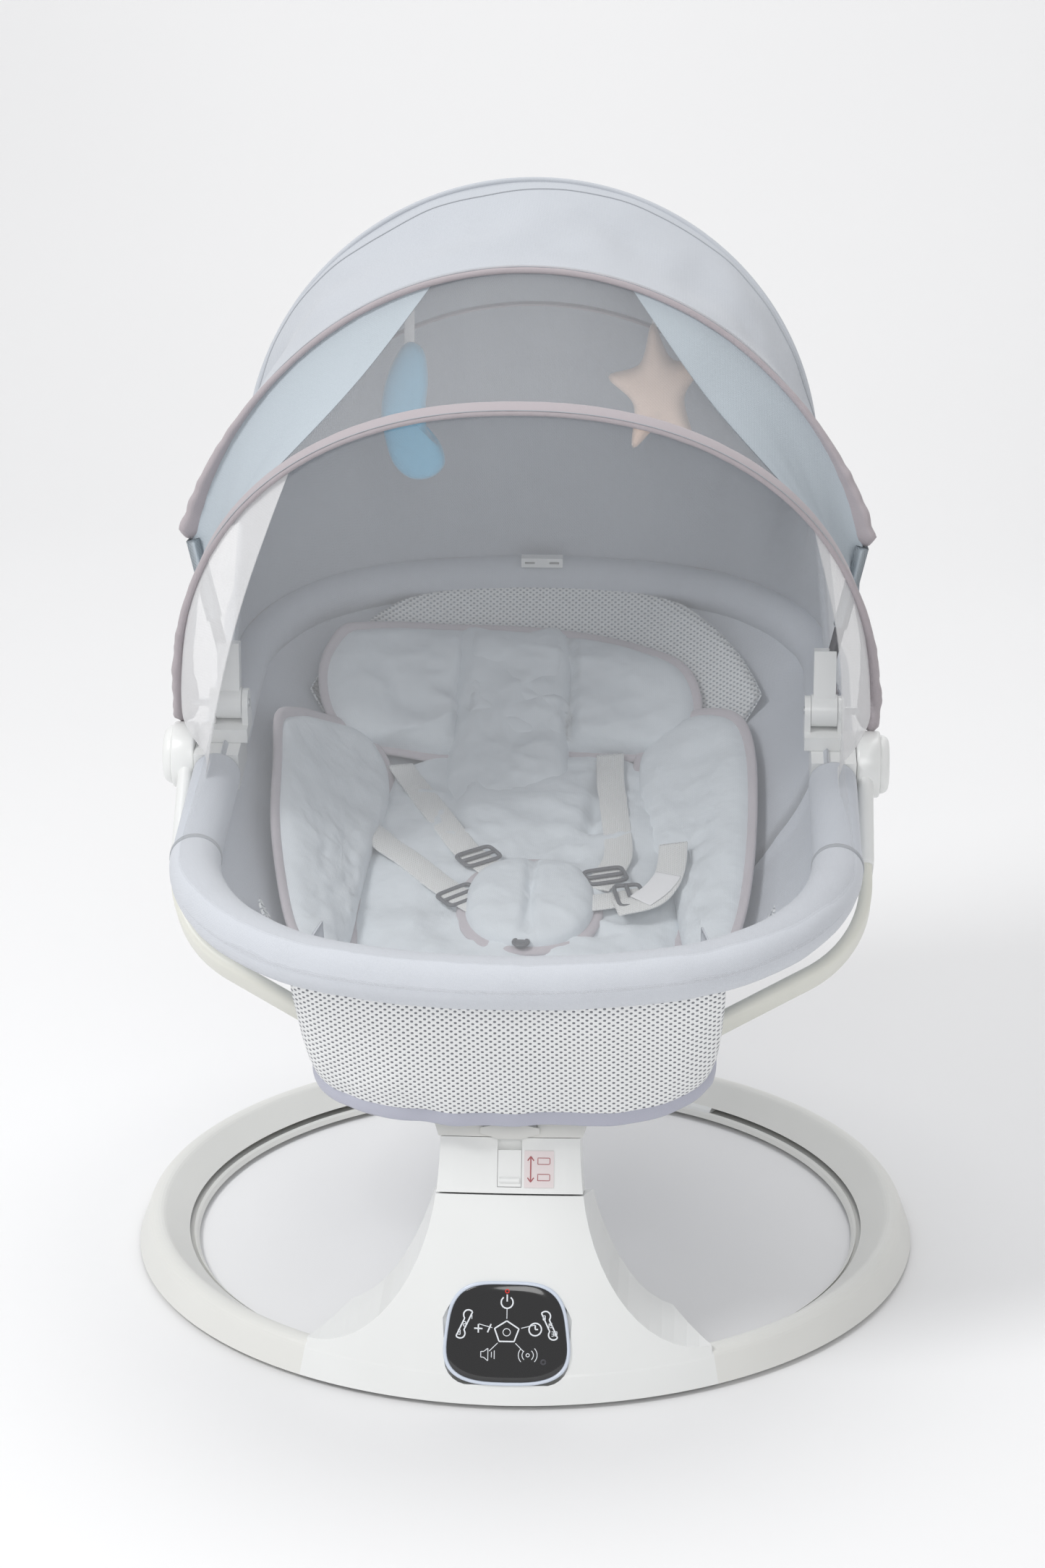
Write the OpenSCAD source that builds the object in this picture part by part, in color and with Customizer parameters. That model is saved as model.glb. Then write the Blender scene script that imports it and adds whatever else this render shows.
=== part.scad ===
// Electric side-to-side baby swing seat with a folding canopy.
// Origin on the floor under the middle of the ring, +Z up, the front faces -Y.

/* [Floor ring] */
// Outer radius of the floor ring
ring_r = 300; // [290:5:310]
// Gap between the ring's bottom edge and the floor
floor_gap = 4; // [3:0.5:5]
// Width of the ring's section
ring_w = 46; // [42:1:50]
// Wall thickness of the plastic shells
wall = 2.6; // [2:0.2:3]
// Half the angle that the front moulding and the rear arc each cover
arc_half = 30; // [28:1:32]

/* [Tower] */
// Backward lean of the tower's face and of the swing axis
tower_lean = 20.5; // [18:0.5:22]
// Height of the seam between the tower and the swinging head
seam_z = 143; // [138:1:148]
// Half width of the tower at the seam
seam_half_w = 52; // [50:1:54]
// Width of the touch panel's bezel
panel_w = 88; // [84:1:92]
// Height of the touch panel's bezel along the face
panel_h = 73; // [70:1:76]

/* [Head] */
// Distance from the swing axis to the head's front face
head_front = 36; // [35:0.5:37]
// Height of the head's shells along the swing axis
head_h = 40; // [39:0.5:41]
// Radius of the swing shaft
shaft_r = 8; // [7:0.5:8.5]
// Travel of the swing lock slider
lock_travel = 7; // [5:0.5:7]

/* [Arms] */
// Height of the recline axis
hub_z = 386; // [380:1:392]
// Distance from the middle to each arm's centre line
arm_x = 253.2; // [253:0.1:254]
// Angle between the arms' plane and the vertical
arm_lean = 44.5; // [44:0.25:45]
// Radius of each arm's bend
arm_bend_r = 84; // [80:1:90]
// Radius of the hub housings
hub_r = 25; // [24:0.5:26]

/* [Seat] */
// Upward tilt of the seat's head end
seat_tilt = 10.6; // [9:0.2:11]
// Half width of the rim, to its centre line
rim_half_w = 229; // [228:0.5:229]
// Half length of the rim, to its centre line
rim_half_l = 317; // [310:1:320]
// Radius of the rim's steel tube
rim_tube_r = 11; // [10:0.5:12]
// Radius of the padded rim cover
rim_cover_r = 17.5; // [16.5:0.5:17.5]
// Depth of the hammock below the rim
bowl_depth = 113; // [105:1:113]

/* [Canopy] */
// Backward lean of the main bow
main_lean = 25; // [23:0.5:27]
// Backward lean of the middle bow
mid_lean = 5; // [3:0.5:7]
// Backward lean of the front bow, negative because it leans forward
front_lean = -20; // [-22:0.5:-18]
// Radius of the main bow's arch
main_r = 212; // [208:1:214]
// Radius of the middle bow's arch
mid_r = 253; // [251:1:255]
// Radius of the front bow's arch
front_r = 256; // [254:1:257]

/* [Hidden] */
$fn = 48;

white = [0.93, 0.94, 0.93];
off_white = [0.90, 0.90, 0.87];
cream = [0.93, 0.93, 0.87];
steel = [0.72, 0.73, 0.75];
dark = [0.12, 0.12, 0.13];
fabric_blue = [0.72, 0.76, 0.80];
mesh_white = [0.90, 0.91, 0.92];
webbing_grey = [0.80, 0.81, 0.81];

// Shared small clearances
fit_gap = 0.02;     // parts pressed or glued together
run_gap = 0.05;     // shafts that turn in a bore
slip_gap = 0.3;     // parts that slide into each other
seam_gap = 0.6;     // half of the open seam between the tower and the head
joint_gap = 0.03;   // butt joints between the lengths of one tube

// Floor ring section
face_slope = tan(tower_lean);
ridge_r = 9;
ridge_z = floor_gap + 15;
ridge_x = ring_r - 15;
inner_normal = 128;

// Tower and head
face_r = ring_r - (seam_z - floor_gap) * face_slope;
axis_y = -face_r + head_front * cos(tower_lean);
axis_z = seam_z - head_front * sin(tower_lean);
ridge_top = ridge_z + ridge_r;
tower_part = 44;
head_back = 32;
head_split = 4;
carrier_w = 34;
carrier_h = 52;
disc_z = 30;
disc_r = 20;
disc_t = 4;
core_z = 5;
core_h = 22;
bush_r = 12.5;
bush_h = 6;
slot_half_w = 8.6;
slot_z = 5;
slot_h = 33.5;
slot_depth = 4.2;
inlet_y = axis_y - 22;
inlet_z = 62;

// Panel, in the plane of the tower's face, measured down from the seam
panel_mid = 97.7;

// Bracket and lever, in the head's frame
flange_z = head_h + 0.4;
flange_h = 13.6;
lever_axis_y = -head_front + 1.2;
lever_axis_z = 48;

// Arms
arm_t = 9.4;
arm_d = 30;
arm_wall = 1.8;
arm_bend_w = 102;
arm_turn = 60;
arm_top_w = 27;
arm_run = 176;
sleeve_wall = 1.6;
sleeve_end_w = 88;
hub_in = rim_half_w + rim_cover_r + 0.4;
hub_floor = hub_in + 11.6;
hub_out = hub_in + 17.6;
hub_pin_r = 7;
button_r = hub_r - 3;
button_travel = 3;

// Rim centre line: straight sides, corner arcs and end arcs, all tangent
rim_corner_r = 160;
rim_end_r = 430;
rim_end_c = rim_half_l - rim_end_r;
rim_corner_c = rim_half_w - rim_corner_r;
rim_link = 4;
rim_link_a = atan2(rim_link, rim_end_r - rim_corner_r);
rim_corner_a = rim_link_a + acos(rim_corner_c * cos(rim_link_a) / (rim_end_r - rim_corner_r));
rim_straight = rim_end_c + (rim_end_r - rim_corner_r) * sin(rim_corner_a) - rim_link * cos(rim_corner_a);
rim_end_a = 90 - rim_corner_a;
block_half = 26;
cover_start = 30;

// Canopy pivot, in the seat's frame and in the world at rest
pivot_seat_y = 13;
pivot_seat_z = 38;
pivot_y = pivot_seat_y * cos(seat_tilt) - pivot_seat_z * sin(seat_tilt);
pivot_z = hub_z + pivot_seat_y * sin(seat_tilt) + pivot_seat_z * cos(seat_tilt);
saddle_x = 222.5;
saddle_half_w = 14.5;
boss_r = 12;
boss_half_w = 9.7;
pin_r = 3;
strip_t = 3;
strip_w = 10;
main_c = 190;
mid_c = 72;
front_c = 12;
mid_start = 11.9;
front_start = -5.2;
mid_foot = 18;
mid_strip_top = [mid_r * cos(mid_start), mid_c + mid_r * sin(mid_start)];
mid_tilt = atan2(mid_strip_top[0] - saddle_x, mid_strip_top[1] - mid_foot);
leg_y = 70;
eyelet_r = 6;
cloth_t = 2;
cloth_gap = 6.5;
rear_gores = 16;
bowl_panels = 16;
bowl_power = 2.8;
cloth_centre = [0, 20, 430];

// ---------- shared helpers ----------

function arc_points(cx, cy, r, a0, a1, steps) =
    [for (i = [0:steps]) let (a = a0 + (a1 - a0) * i / steps) [cx + r * cos(a), cy + r * sin(a)]];

function mix(a, b, t) = a + (b - a) * t;

function unit(v) = v / norm(v);

module head_frame() {
    translate([0, axis_y, axis_z]) rotate([-tower_lean, 0, 0]) children();
}

module arm_frame() {
    translate([0, 0, hub_z]) rotate([-arm_lean, 0, 0]) children();
}

module seat_frame() {
    translate([0, 0, hub_z]) rotate([seat_tilt, 0, 0]) children();
}

module bow_frame(lean) {
    translate([0, pivot_y, pivot_z]) rotate([-lean, 0, 0]) children();
}

module both_sides() {
    children();
    mirror([1, 0, 0]) children();
}

module sweep_z(from_angle, angle) {
    rotate([0, 0, from_angle]) rotate_extrude(angle = angle, $fn = 96) children();
}

// A cylinder along X, from x0 to x1
module rod_x(x0, x1, r) {
    translate([x0, 0, 0]) rotate([0, 90, 0]) cylinder(h = x1 - x0, r = r);
}

// A box given by its two corners
module block(a, b) {
    translate(a) cube(b - a);
}

// A flat bar section with round ends: t thick along X, d deep along Y
module stadium(t, d) {
    flat = (d - t) / 2;
    polygon(concat(arc_points(0, flat, t / 2, 0, 180, 8), arc_points(0, -flat, t / 2, 180, 360, 8)));
}

module many_sided(r) {
    polygon(arc_points(0, 0, r, 6, 354, 29));
}

// A closed thin sheet from a grid of outer points and a grid of inner points
module sheet_solid(outer, inner, rows, cols) {
    n = rows * cols;
    skin = [for (i = [0:rows - 2]) for (j = [0:cols - 2])
        [i * cols + j, i * cols + j + 1, (i + 1) * cols + j + 1, (i + 1) * cols + j]];
    lining = [for (q = skin) [q[3] + n, q[2] + n, q[1] + n, q[0] + n]];
    edge_a = [for (j = [0:cols - 2]) [j, j + n, j + 1 + n, j + 1]];
    edge_b = [for (j = [0:cols - 2]) let (k = (rows - 1) * cols + j) [k + 1, k + 1 + n, k + n, k]];
    edge_c = [for (i = [0:rows - 2]) let (k = i * cols) [k + cols, k + cols + n, k + n, k]];
    edge_d = [for (i = [0:rows - 2]) let (k = i * cols + cols - 1) [k, k + n, k + cols + n, k + cols]];
    quads = concat(skin, lining, edge_a, edge_b, edge_c, edge_d);
    polyhedron(
        points = concat(outer, inner),
        faces = [for (q = quads) for (f = [[q[0], q[1], q[2]], [q[0], q[2], q[3]]]) f],
        convexity = 6
    );
}

// ---------- floor ring ----------

function ring_outline(inset, bottom) = concat(
    [[ring_r - inset / cos(tower_lean) - (bottom - floor_gap) * face_slope, bottom]],
    arc_points(ridge_x, ridge_z, ridge_r - inset, tower_lean, inner_normal, 8),
    [[ring_r - ring_w + 2 + inset, floor_gap + 3 + inset], [ring_r - ring_w + inset, bottom]]
);

module ring_arc(from_angle, angle) {
    difference() {
        sweep_z(from_angle, angle) polygon(ring_outline(0, floor_gap));
        sweep_z(from_angle, angle) polygon(ring_outline(wall, floor_gap + wall));
    }
}

module ring_left() { color(off_white) ring_arc(90 + arc_half, 180 - 2 * arc_half); }

module ring_right() { color(off_white) ring_arc(-90 + arc_half, 180 - 2 * arc_half); }

module ring_rear() { color(off_white) ring_arc(90 - arc_half, 2 * arc_half); }

module ring_tongues() {
    color(white)
        for (a = [-90 - arc_half, -90 + arc_half, 90 - arc_half, 90 + arc_half])
            sweep_z(a - 4, 8) polygon(ring_outline(wall + slip_gap, floor_gap + wall + 1));
}

module base_feet() {
    pad_angle = 8;
    color(dark)
        for (a = [-112, -68, -142, -38, 10, 170, 48, 132, 78, 102])
            sweep_z(a - pad_angle / 2, pad_angle)
                translate([ring_r - 34, 0]) square([24, floor_gap]);
}

module base_screws() {
    color(steel)
        for (a = [-106, -74])
            rotate([0, 0, a]) translate([ring_r - 24, 0, floor_gap + 2.4]) {
                cylinder(h = 1.6, r = 3.5);
                translate([0, 0, 1.6]) cylinder(h = 7, r = 1.5);
            }
}

// ---------- base front moulding and tower ----------

// Half width and height of the tower's outline, from the seam (0) to the ring's ridge (1)
function flare(u) = [
    seam_half_w + 13 * u + 80 * (1 - sqrt(1 - u * u)),
    seam_z - (seam_z - ridge_top - 2) * u
];

function flare_inset(u, inset) =
    let (a = flare(max(0, u - 0.01)), b = flare(min(1, u + 0.01)), d = unit(b - a))
    flare(u) + inset * [d[1], -d[0]];

function tower_outline(inset) =
    let (side = [for (i = [0:14]) flare_inset(sin(90 * i / 14), inset)])
    concat(
        [[seam_half_w - inset, seam_z + 20]],
        side,
        [[side[14][0], -1], [-side[14][0], -1]],
        [for (i = [14:-1:0]) [-side[i][0], side[i][1]]],
        [[-seam_half_w + inset, seam_z + 20]]
    );

module tower_silhouette(inset) {
    translate([0, -120, 0]) rotate([90, 0, 0]) linear_extrude(200) polygon(tower_outline(inset));
}

// Everything below a level of the head's frame
module below_head(level) {
    head_frame() translate([-200, -250, level - 300]) cube([400, 400, 300]);
}

function face_x(z, inset) = ring_r - (z - floor_gap) * face_slope - inset / cos(tower_lean);

module tower_front_volume(inset, depth, bottom) {
    top = seam_z + 20;
    intersection() {
        sweep_z(-90 - arc_half, 2 * arc_half)
            polygon([
                [face_x(bottom, inset), bottom],
                [face_x(top, inset), top],
                [face_x(top, depth), top],
                [face_x(bottom, depth), bottom]
            ]);
        tower_silhouette(inset);
        below_head(-seam_gap - inset);
    }
}

module shaft_hole(z0, z1) {
    head_frame() translate([0, 0, z0]) cylinder(h = z1 - z0, r = shaft_r + 3);
}

module base_front_shell() {
    color(white)
        difference() {
            union() {
                sweep_z(-90 - arc_half, 2 * arc_half) polygon(ring_outline(0, floor_gap));
                tower_front_volume(0, tower_part, floor_gap);
            }
            sweep_z(-90 - arc_half, 2 * arc_half) polygon(ring_outline(wall, floor_gap - 1));
            tower_front_volume(wall, tower_part + 8, floor_gap - 1);
            shaft_hole(-10, 5);
            panel_plate(panel_w + 0.4, panel_h + 0.4, -wall - 3, 3);
        }
}

module base_bottom_cover() {
    color(off_white)
        difference() {
            sweep_z(-90 - arc_half + 1, 2 * arc_half - 2)
                translate([ring_r - ring_w + wall + 3, floor_gap]) square([ring_w - 2 * wall - 7, 2.2]);
            for (a = [-106, -74])
                rotate([0, 0, a]) translate([ring_r - 24, 0, 0]) cylinder(h = 10, r = 1.2);
        }
}

rear_profile_top = seam_z + 20;

function rear_profile(inset) = [
    [face_x(ridge_top - 6, tower_part + inset), ridge_top - 6 + inset],
    [face_x(rear_profile_top, tower_part + inset), rear_profile_top],
    [face_x(rear_profile_top, head_front + head_back - inset), rear_profile_top],
    [face_x(seam_z - 30, head_front + head_back - inset), seam_z - 30],
    [face_x(seam_z - 60, head_front + head_back - 6 - inset), seam_z - 60],
    [face_x(seam_z - 90, head_front + head_back - 16 - inset), seam_z - 90],
    [face_x(ridge_top - 6, tower_part + 6 - inset), ridge_top - 6 + inset]
];

module tower_rear_volume(inset) {
    intersection() {
        sweep_z(-90 - arc_half, 2 * arc_half) polygon(rear_profile(inset));
        tower_silhouette(inset);
        below_head(-seam_gap - inset);
    }
}

module tower_rear_cover() {
    color(white)
        difference() {
            tower_rear_volume(0);
            translate([0, -wall - 1, 0]) tower_rear_volume(wall);
            sweep_z(-90 - arc_half - 2, 2 * arc_half + 4) polygon(ring_outline(-0.2, floor_gap - 1));
            shaft_hole(-10, 5);
            translate([0, inlet_y, inlet_z]) rotate([-90, 0, 0]) cylinder(h = 60, r = 6.2);
        }
}

// ---------- touch panel ----------

// Rounded trapezoid, wide at its foot, centred on the middle of the face
function panel_points(w, h) = concat(
    arc_points(w * 0.30, -h * 0.26, h * 0.24, -80, 12, 6),
    arc_points(w * 0.08, -h * 0.06, h * 0.56, 20, 84, 8),
    [for (p = arc_points(w * 0.08, -h * 0.06, h * 0.56, 84, 20, 8)) [-p[0], p[1]]],
    [for (p = arc_points(w * 0.30, -h * 0.26, h * 0.24, 12, -80, 6)) [-p[0], p[1]]]
);

// A plate of the panel's outline lying in the tower's face, from depth a to depth b
module panel_plate(w, h, a, b) {
    translate([0, -face_r, seam_z]) rotate([-tower_lean, 0, 0]) translate([0, -a, -panel_mid])
        rotate([90, 0, 0]) linear_extrude(b - a) polygon(panel_points(w, h));
}

module panel_bezel() {
    color([0.85, 0.88, 0.93])
        difference() {
            panel_plate(panel_w, panel_h, -3.2, 0.4);
            panel_plate(panel_w - 5, panel_h - 5, -1.2, 1);
            panel_plate(panel_w - 11, panel_h - 11, -5, 1);
        }
}

module panel_glass() {
    color(dark) panel_plate(panel_w - 5.4, panel_h - 5.4, -1.2, 0.6);
}

module panel_board() {
    color([0.1, 0.35, 0.2])
        translate([0, -face_r, seam_z]) rotate([-tower_lean, 0, 0])
            translate([-34, 6.5, -panel_mid - 26]) cube([68, 1.6, 54]);
}

module speaker() {
    color(dark)
        translate([0, -face_r, seam_z]) rotate([-tower_lean, 0, 0])
            translate([0, 10, -panel_mid + 4]) rotate([-90, 0, 0]) {
                cylinder(h = 4, r = 20);
                translate([0, 0, 4]) cylinder(h = 8, r1 = 18, r2 = 9);
                translate([0, 0, 12]) cylinder(h = 6, r = 10);
            }
}

module dc_inlet() {
    color(dark)
        translate([0, inlet_y, inlet_z]) rotate([-90, 0, 0])
            difference() {
                union() {
                    cylinder(h = 18, r = 6);
                    translate([0, 0, -2]) cylinder(h = 4, r = 8);
                }
                translate([0, 0, 6]) cylinder(h = 20, r = 2.75);
            }
}

// ---------- swing drive ----------

module shaft_carrier() {
    color(off_white)
        head_frame()
            difference() {
                block([-carrier_w / 2, -13, -seam_gap - wall - carrier_h],
                      [carrier_w / 2, 12, -seam_gap - wall - 1.5]);
                translate([0, 0, -48]) cylinder(h = 60, r = shaft_r + fit_gap);
            }
}

module swing_shaft() {
    color(steel)
        head_frame() {
            translate([0, 0, -48]) cylinder(h = 48 + disc_z, r = shaft_r);
            translate([0, 0, disc_z]) cylinder(h = disc_t, r = disc_r);
        }
}

module drive_coil() {
    color([0.75, 0.45, 0.25])
        head_frame() translate([0, -22.8, -seam_gap - wall - 10])
            difference() {
                cylinder(h = 10, r = 8.5);
                translate([0, 0, -1]) cylinder(h = 12, r = 4);
            }
}

module drive_magnet() {
    color(steel) head_frame() block([-10, -27, seam_gap + wall], [10, -15.5, 10]);
}

module swing_bearings() {
    color(steel)
        head_frame()
            for (z = [core_z, core_z + core_h - bush_h])
                translate([0, 0, z]) difference() {
                    cylinder(h = bush_h, r = bush_r - fit_gap);
                    translate([0, 0, -1]) cylinder(h = bush_h + 2, r = shaft_r + run_gap);
                }
}

module head_core() {
    color(off_white)
        head_frame()
            difference() {
                block([-44, -13.5, core_z], [44, 24, core_z + core_h]);
                translate([0, 0, core_z - 1]) cylinder(h = core_h + 2, r = bush_r);
            }
}

// ---------- swinging head ----------

function head_plan(inset) = concat(
    arc_points(0, -head_front + face_r, face_r - inset, -90 - asin((60 - inset) / face_r),
        -90 + asin((60 - inset) / face_r), 12),
    arc_points(60 - inset - 6, head_back - inset - 6, 6, 0, 90, 4),
    arc_points(-60 + inset + 6, head_back - inset - 6, 6, 90, 180, 4)
);

function head_half_w(z) = seam_half_w - 2.4 * sin(90 * z / head_h);

module head_volume(inset) {
    intersection() {
        translate([0, 0, seam_gap + inset]) linear_extrude(head_h - seam_gap - 2 * inset)
            polygon(head_plan(inset));
        translate([0, 60, 0]) rotate([90, 0, 0]) linear_extrude(120)
            polygon(concat(
                [for (i = [0:8]) [head_half_w(head_h * i / 8) - inset, head_h * i / 8]],
                [for (i = [8:-1:0]) [-head_half_w(head_h * i / 8) + inset, head_h * i / 8]]
            ));
    }
}

module head_front_shell() {
    color(white)
        head_frame()
            difference() {
                union() {
                    difference() {
                        head_volume(0);
                        head_volume(wall);
                    }
                    intersection() {
                        head_volume(0);
                        block([-12, -head_front - 1, 1], [12, -28, head_h]);
                    }
                }
                block([-80, head_split, -5], [80, 60, head_h + 5]);
                translate([0, 0, -5]) cylinder(h = 12, r = shaft_r + 3);
                block([-slot_half_w, -head_front - 2, slot_z],
                      [slot_half_w, -head_front + slot_depth, slot_z + slot_h]);
                block([-3.3, -head_front - 2, slot_z + 9], [3.3, -27, slot_z + 26]);
            }
}

module head_rear_shell() {
    color(white)
        head_frame()
            difference() {
                head_volume(0);
                head_volume(wall);
                block([-80, -60, -5], [80, head_split, head_h + 5]);
                translate([0, 0, -5]) cylinder(h = 12, r = shaft_r + 3);
            }
}

module lock_slider() {
    plate_z = slot_z + 0.4;
    plate_h = slot_h - lock_travel - 0.7;
    color(white)
        head_frame() {
            block([-slot_half_w + 0.3, -head_front + 0.1, plate_z],
                  [slot_half_w - 0.3, -head_front + slot_depth - 0.2, plate_z + plate_h]);
            translate([-slot_half_w + 1.5, -head_front + 0.1, plate_z + 4.6]) rotate([0, 90, 0])
                cylinder(h = 2 * slot_half_w - 3, r = 2);
            block([-3, -head_front + slot_depth - 0.4, slot_z + 10.5], [3, -17, slot_z + 15.5]);
            block([-3, -23.5, slot_z + 15.5], [3, -17, disc_z - lock_travel - run_gap]);
        }
}

module label_plate() {
    color([0.93, 0.88, 0.88])
        head_frame() translate([0, -head_front + face_r, 5]) linear_extrude(26)
            polygon(concat(
                arc_points(0, 0, face_r + 0.6, -90 + asin(10.4 / face_r), -90 + asin(31.2 / face_r), 8),
                arc_points(0, 0, face_r + run_gap, -90 + asin(31.2 / face_r), -90 + asin(10.4 / face_r), 8)
            ));
}

// ---------- seat bracket, lever and arms ----------

module flange_block() {
    bottom_w = 51;
    top_w = 55.5;
    intersection() {
        translate([0, 0, flange_z]) linear_extrude(flange_h)
            polygon(head_plan(-0.6));
        translate([0, 60, 0]) rotate([90, 0, 0]) linear_extrude(120)
            polygon([
                [bottom_w, flange_z], [top_w, flange_z + flange_h],
                [-top_w, flange_z + flange_h], [-bottom_w, flange_z]
            ]);
    }
}

module seat_bracket() {
    color(off_white)
        difference() {
            union() {
                head_frame() flange_block();
                hull() {
                    head_frame() translate([-49.5, -28, flange_z + flange_h - 5]) cube([99, 54, 2]);
                    arm_frame() translate([-44, -19, -284]) cube([88, 38, 16]);
                }
                both_sides() arm_frame() arm_lower(arm_t + 5, arm_d + 5, 108, arm_run - 68);
            }
            both_sides() arm_frame() arm_lower(arm_t + 0.6, arm_d + 0.6, 100, arm_run - 15);
            head_frame() {
                for (s = [-1, 1])
                    block([s * 14.6 - 4.6, -head_front - 2, lever_axis_z - 2.2],
                          [s * 14.6 + 4.6, -head_front + 3.6, lever_axis_z + 2.2]);
                translate([0, -head_front - 2, lever_axis_z - 4.5]) rotate([-90, 0, 0])
                    cylinder(h = 6, r = 3);
            }
        }
}

module release_lever() {
    front = -head_front - 4.8;
    back = -head_front - 0.9;
    color(off_white)
        head_frame() {
            translate([0, back, 0]) rotate([90, 0, 0]) linear_extrude(back - front)
                polygon([
                    [-21, 43], [-21, 47], [-8.4, 49.4], [8.4, 49.4], [21, 47], [21, 43],
                    [8.4, 39.2], [-8.4, 39.2]
                ]);
            for (s = [-1, 1]) {
                translate([s * 14.6 - 4.2, lever_axis_y, lever_axis_z]) rotate([0, 90, 0])
                    cylinder(h = 8.4, r = 1.1);
                block([s * 14.6 - 4.2, back - 0.5, lever_axis_z - 1.1],
                      [s * 14.6 + 4.2, lever_axis_y, lever_axis_z - 0.1]);
            }
        }
}

// The straight foot of the right arm from after the bend, in the arms' plane
module arm_lower(t, d, start, length) {
    translate([arm_x - arm_bend_r * (1 - cos(arm_turn)), 0, -arm_bend_w - arm_bend_r * sin(arm_turn)])
        rotate([0, 180 + arm_turn, 0]) translate([0, 0, start]) linear_extrude(length) stadium(t, d);
}

module arm_bend(t, d, inner_t, inner_d) {
    translate([arm_x - arm_bend_r, 0, -arm_bend_w]) rotate([90, 0, 0]) rotate([0, 0, -arm_turn])
        rotate_extrude(angle = arm_turn, $fn = 96) translate([arm_bend_r, 0]) difference() {
            stadium(t, d);
            stadium(inner_t, inner_d);
        }
}

module arm_upper(t, d, w0, w1) {
    translate([arm_x, 0, -w1]) linear_extrude(w1 - w0) stadium(t, d);
}

module arm_tube() {
    inner_t = arm_t - 2 * arm_wall;
    inner_d = arm_d - 2 * arm_wall;
    color(cream)
        arm_frame() {
            difference() {
                arm_upper(arm_t, arm_d, arm_top_w, arm_bend_w - joint_gap);
                arm_upper(inner_t, inner_d, arm_top_w - 1, arm_bend_w + 1);
            }
            arm_bend(arm_t, arm_d, inner_t, inner_d);
            difference() {
                arm_lower(arm_t, arm_d, joint_gap, arm_run - 20);
                arm_lower(inner_t, inner_d, -1, arm_run);
            }
        }
}

module arm_right() { arm_tube(); }

module arm_left() { mirror([1, 0, 0]) arm_tube(); }

module hub_housing() {
    color(white)
        difference() {
            union() {
                translate([0, 0, hub_z]) rod_x(hub_in, hub_out, hub_r);
                arm_frame() arm_upper(arm_t + 2.8, arm_d + 3, hub_r - 12, sleeve_end_w);
            }
            translate([0, 0, hub_z]) {
                rod_x(hub_floor, hub_out + 1, button_r + slip_gap);
                rod_x(hub_in - 1, hub_floor + 1, hub_pin_r + run_gap);
            }
            arm_frame() arm_upper(arm_t + 0.4, arm_d + 0.4, arm_top_w - 0.5, sleeve_end_w + 1);
        }
}

module hub_right() { hub_housing(); }

module hub_left() { mirror([1, 0, 0]) hub_housing(); }

module recline_button() {
    start = hub_floor + button_travel + 0.5;
    depth = hub_out + 7 - start;
    color(white)
        translate([start, 0, hub_z]) rotate([0, 90, 0])
            rotate_extrude()
                polygon(concat(
                    [[8, 0], [button_r, 0]],
                    arc_points(button_r - 6, depth - 6, 6, 0, 80, 6),
                    [[0, depth + 0.6], [0, 3], [8, 3]]
                ));
}

module recline_button_right() { recline_button(); }

module recline_button_left() { mirror([1, 0, 0]) recline_button(); }

module release_springs() {
    color(steel) {
        both_sides()
            translate([0, 0, hub_z]) difference() {
                rod_x(hub_floor + 0.1, hub_floor + button_travel + 0.3, 7.6);
                rod_x(hub_floor - 1, hub_floor + 6, 6.6);
            }
        head_frame() translate([0, -head_front - 0.85, lever_axis_z - 4.5]) rotate([-90, 0, 0])
            difference() {
                cylinder(h = 4.6, r = 2.4);
                translate([0, 0, -1]) cylinder(h = 7, r = 1.8);
            }
    }
}

// ---------- seat frame ----------

module washer(r, bore) {
    difference() {
        many_sided(r);
        many_sided(bore);
    }
}

// One straight side of the rim's loop, from y0 to y1
module rim_side(r, bore, y0, y1) {
    translate([rim_half_w, y0, 0]) rotate([-90, 0, 0]) linear_extrude(y1 - y0) washer(r, bore);
}

// An arc of tube in count short lengths that butt end to end
module tube_arc(arc_r, from_angle, angle, count, r, bore) {
    gap = asin(joint_gap / arc_r);
    for (i = [0:count - 1])
        rotate([0, 0, from_angle + angle * i / count + (i > 0 ? gap : 0)])
            rotate_extrude(angle = angle / count - (i > 0 ? gap : 0), $fn = 72)
                translate([arc_r, 0]) washer(r, bore);
}

// One end of the rim's loop for y > 0: the corners, their short links and the end arc
module rim_end(r, bore, corner_count, end_count) {
    both_sides() translate([rim_corner_c, rim_straight, 0]) {
        tube_arc(rim_corner_r, 0, rim_corner_a, corner_count, r, bore);
        rotate([0, 0, rim_corner_a]) translate([rim_corner_r, joint_gap, 0]) rotate([-90, 0, 0])
            linear_extrude(rim_link - 2 * joint_gap) washer(r, bore);
    }
    translate([0, rim_end_c, 0])
        tube_arc(rim_end_r, 90 - rim_end_a, 2 * rim_end_a, end_count, r, bore);
}

module rim_tube() {
    color(steel) seat_frame() {
        rim_end(rim_tube_r, rim_tube_r - 1.5, 1, 1);
        both_sides() rim_side(rim_tube_r, rim_tube_r - 1.5, 1, rim_straight - joint_gap);
    }
}

module rim_rear_tube() { rim_tube(); }

module rim_front_tube() {
    color(steel) seat_frame() rotate([0, 0, 180]) {
        rim_end(rim_tube_r, rim_tube_r - 1.5, 1, 1);
        both_sides() rim_side(rim_tube_r, rim_tube_r - 1.5, 1, rim_straight - joint_gap);
    }
}

module hub_blocks() {
    color(white)
        seat_frame() both_sides() difference() {
            union() {
                block([rim_half_w - 16, -block_half, -15], [hub_in - 0.5, block_half, 14]);
                rod_x(rim_half_w + 12, hub_floor - 0.2, hub_pin_r);
            }
            translate([rim_half_w, -block_half - 1, 0]) rotate([-90, 0, 0])
                cylinder(h = 2 * block_half + 2, r = rim_tube_r + slip_gap);
            rod_x(rim_half_w, rim_half_w + 20, 2);
        }
}

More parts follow.
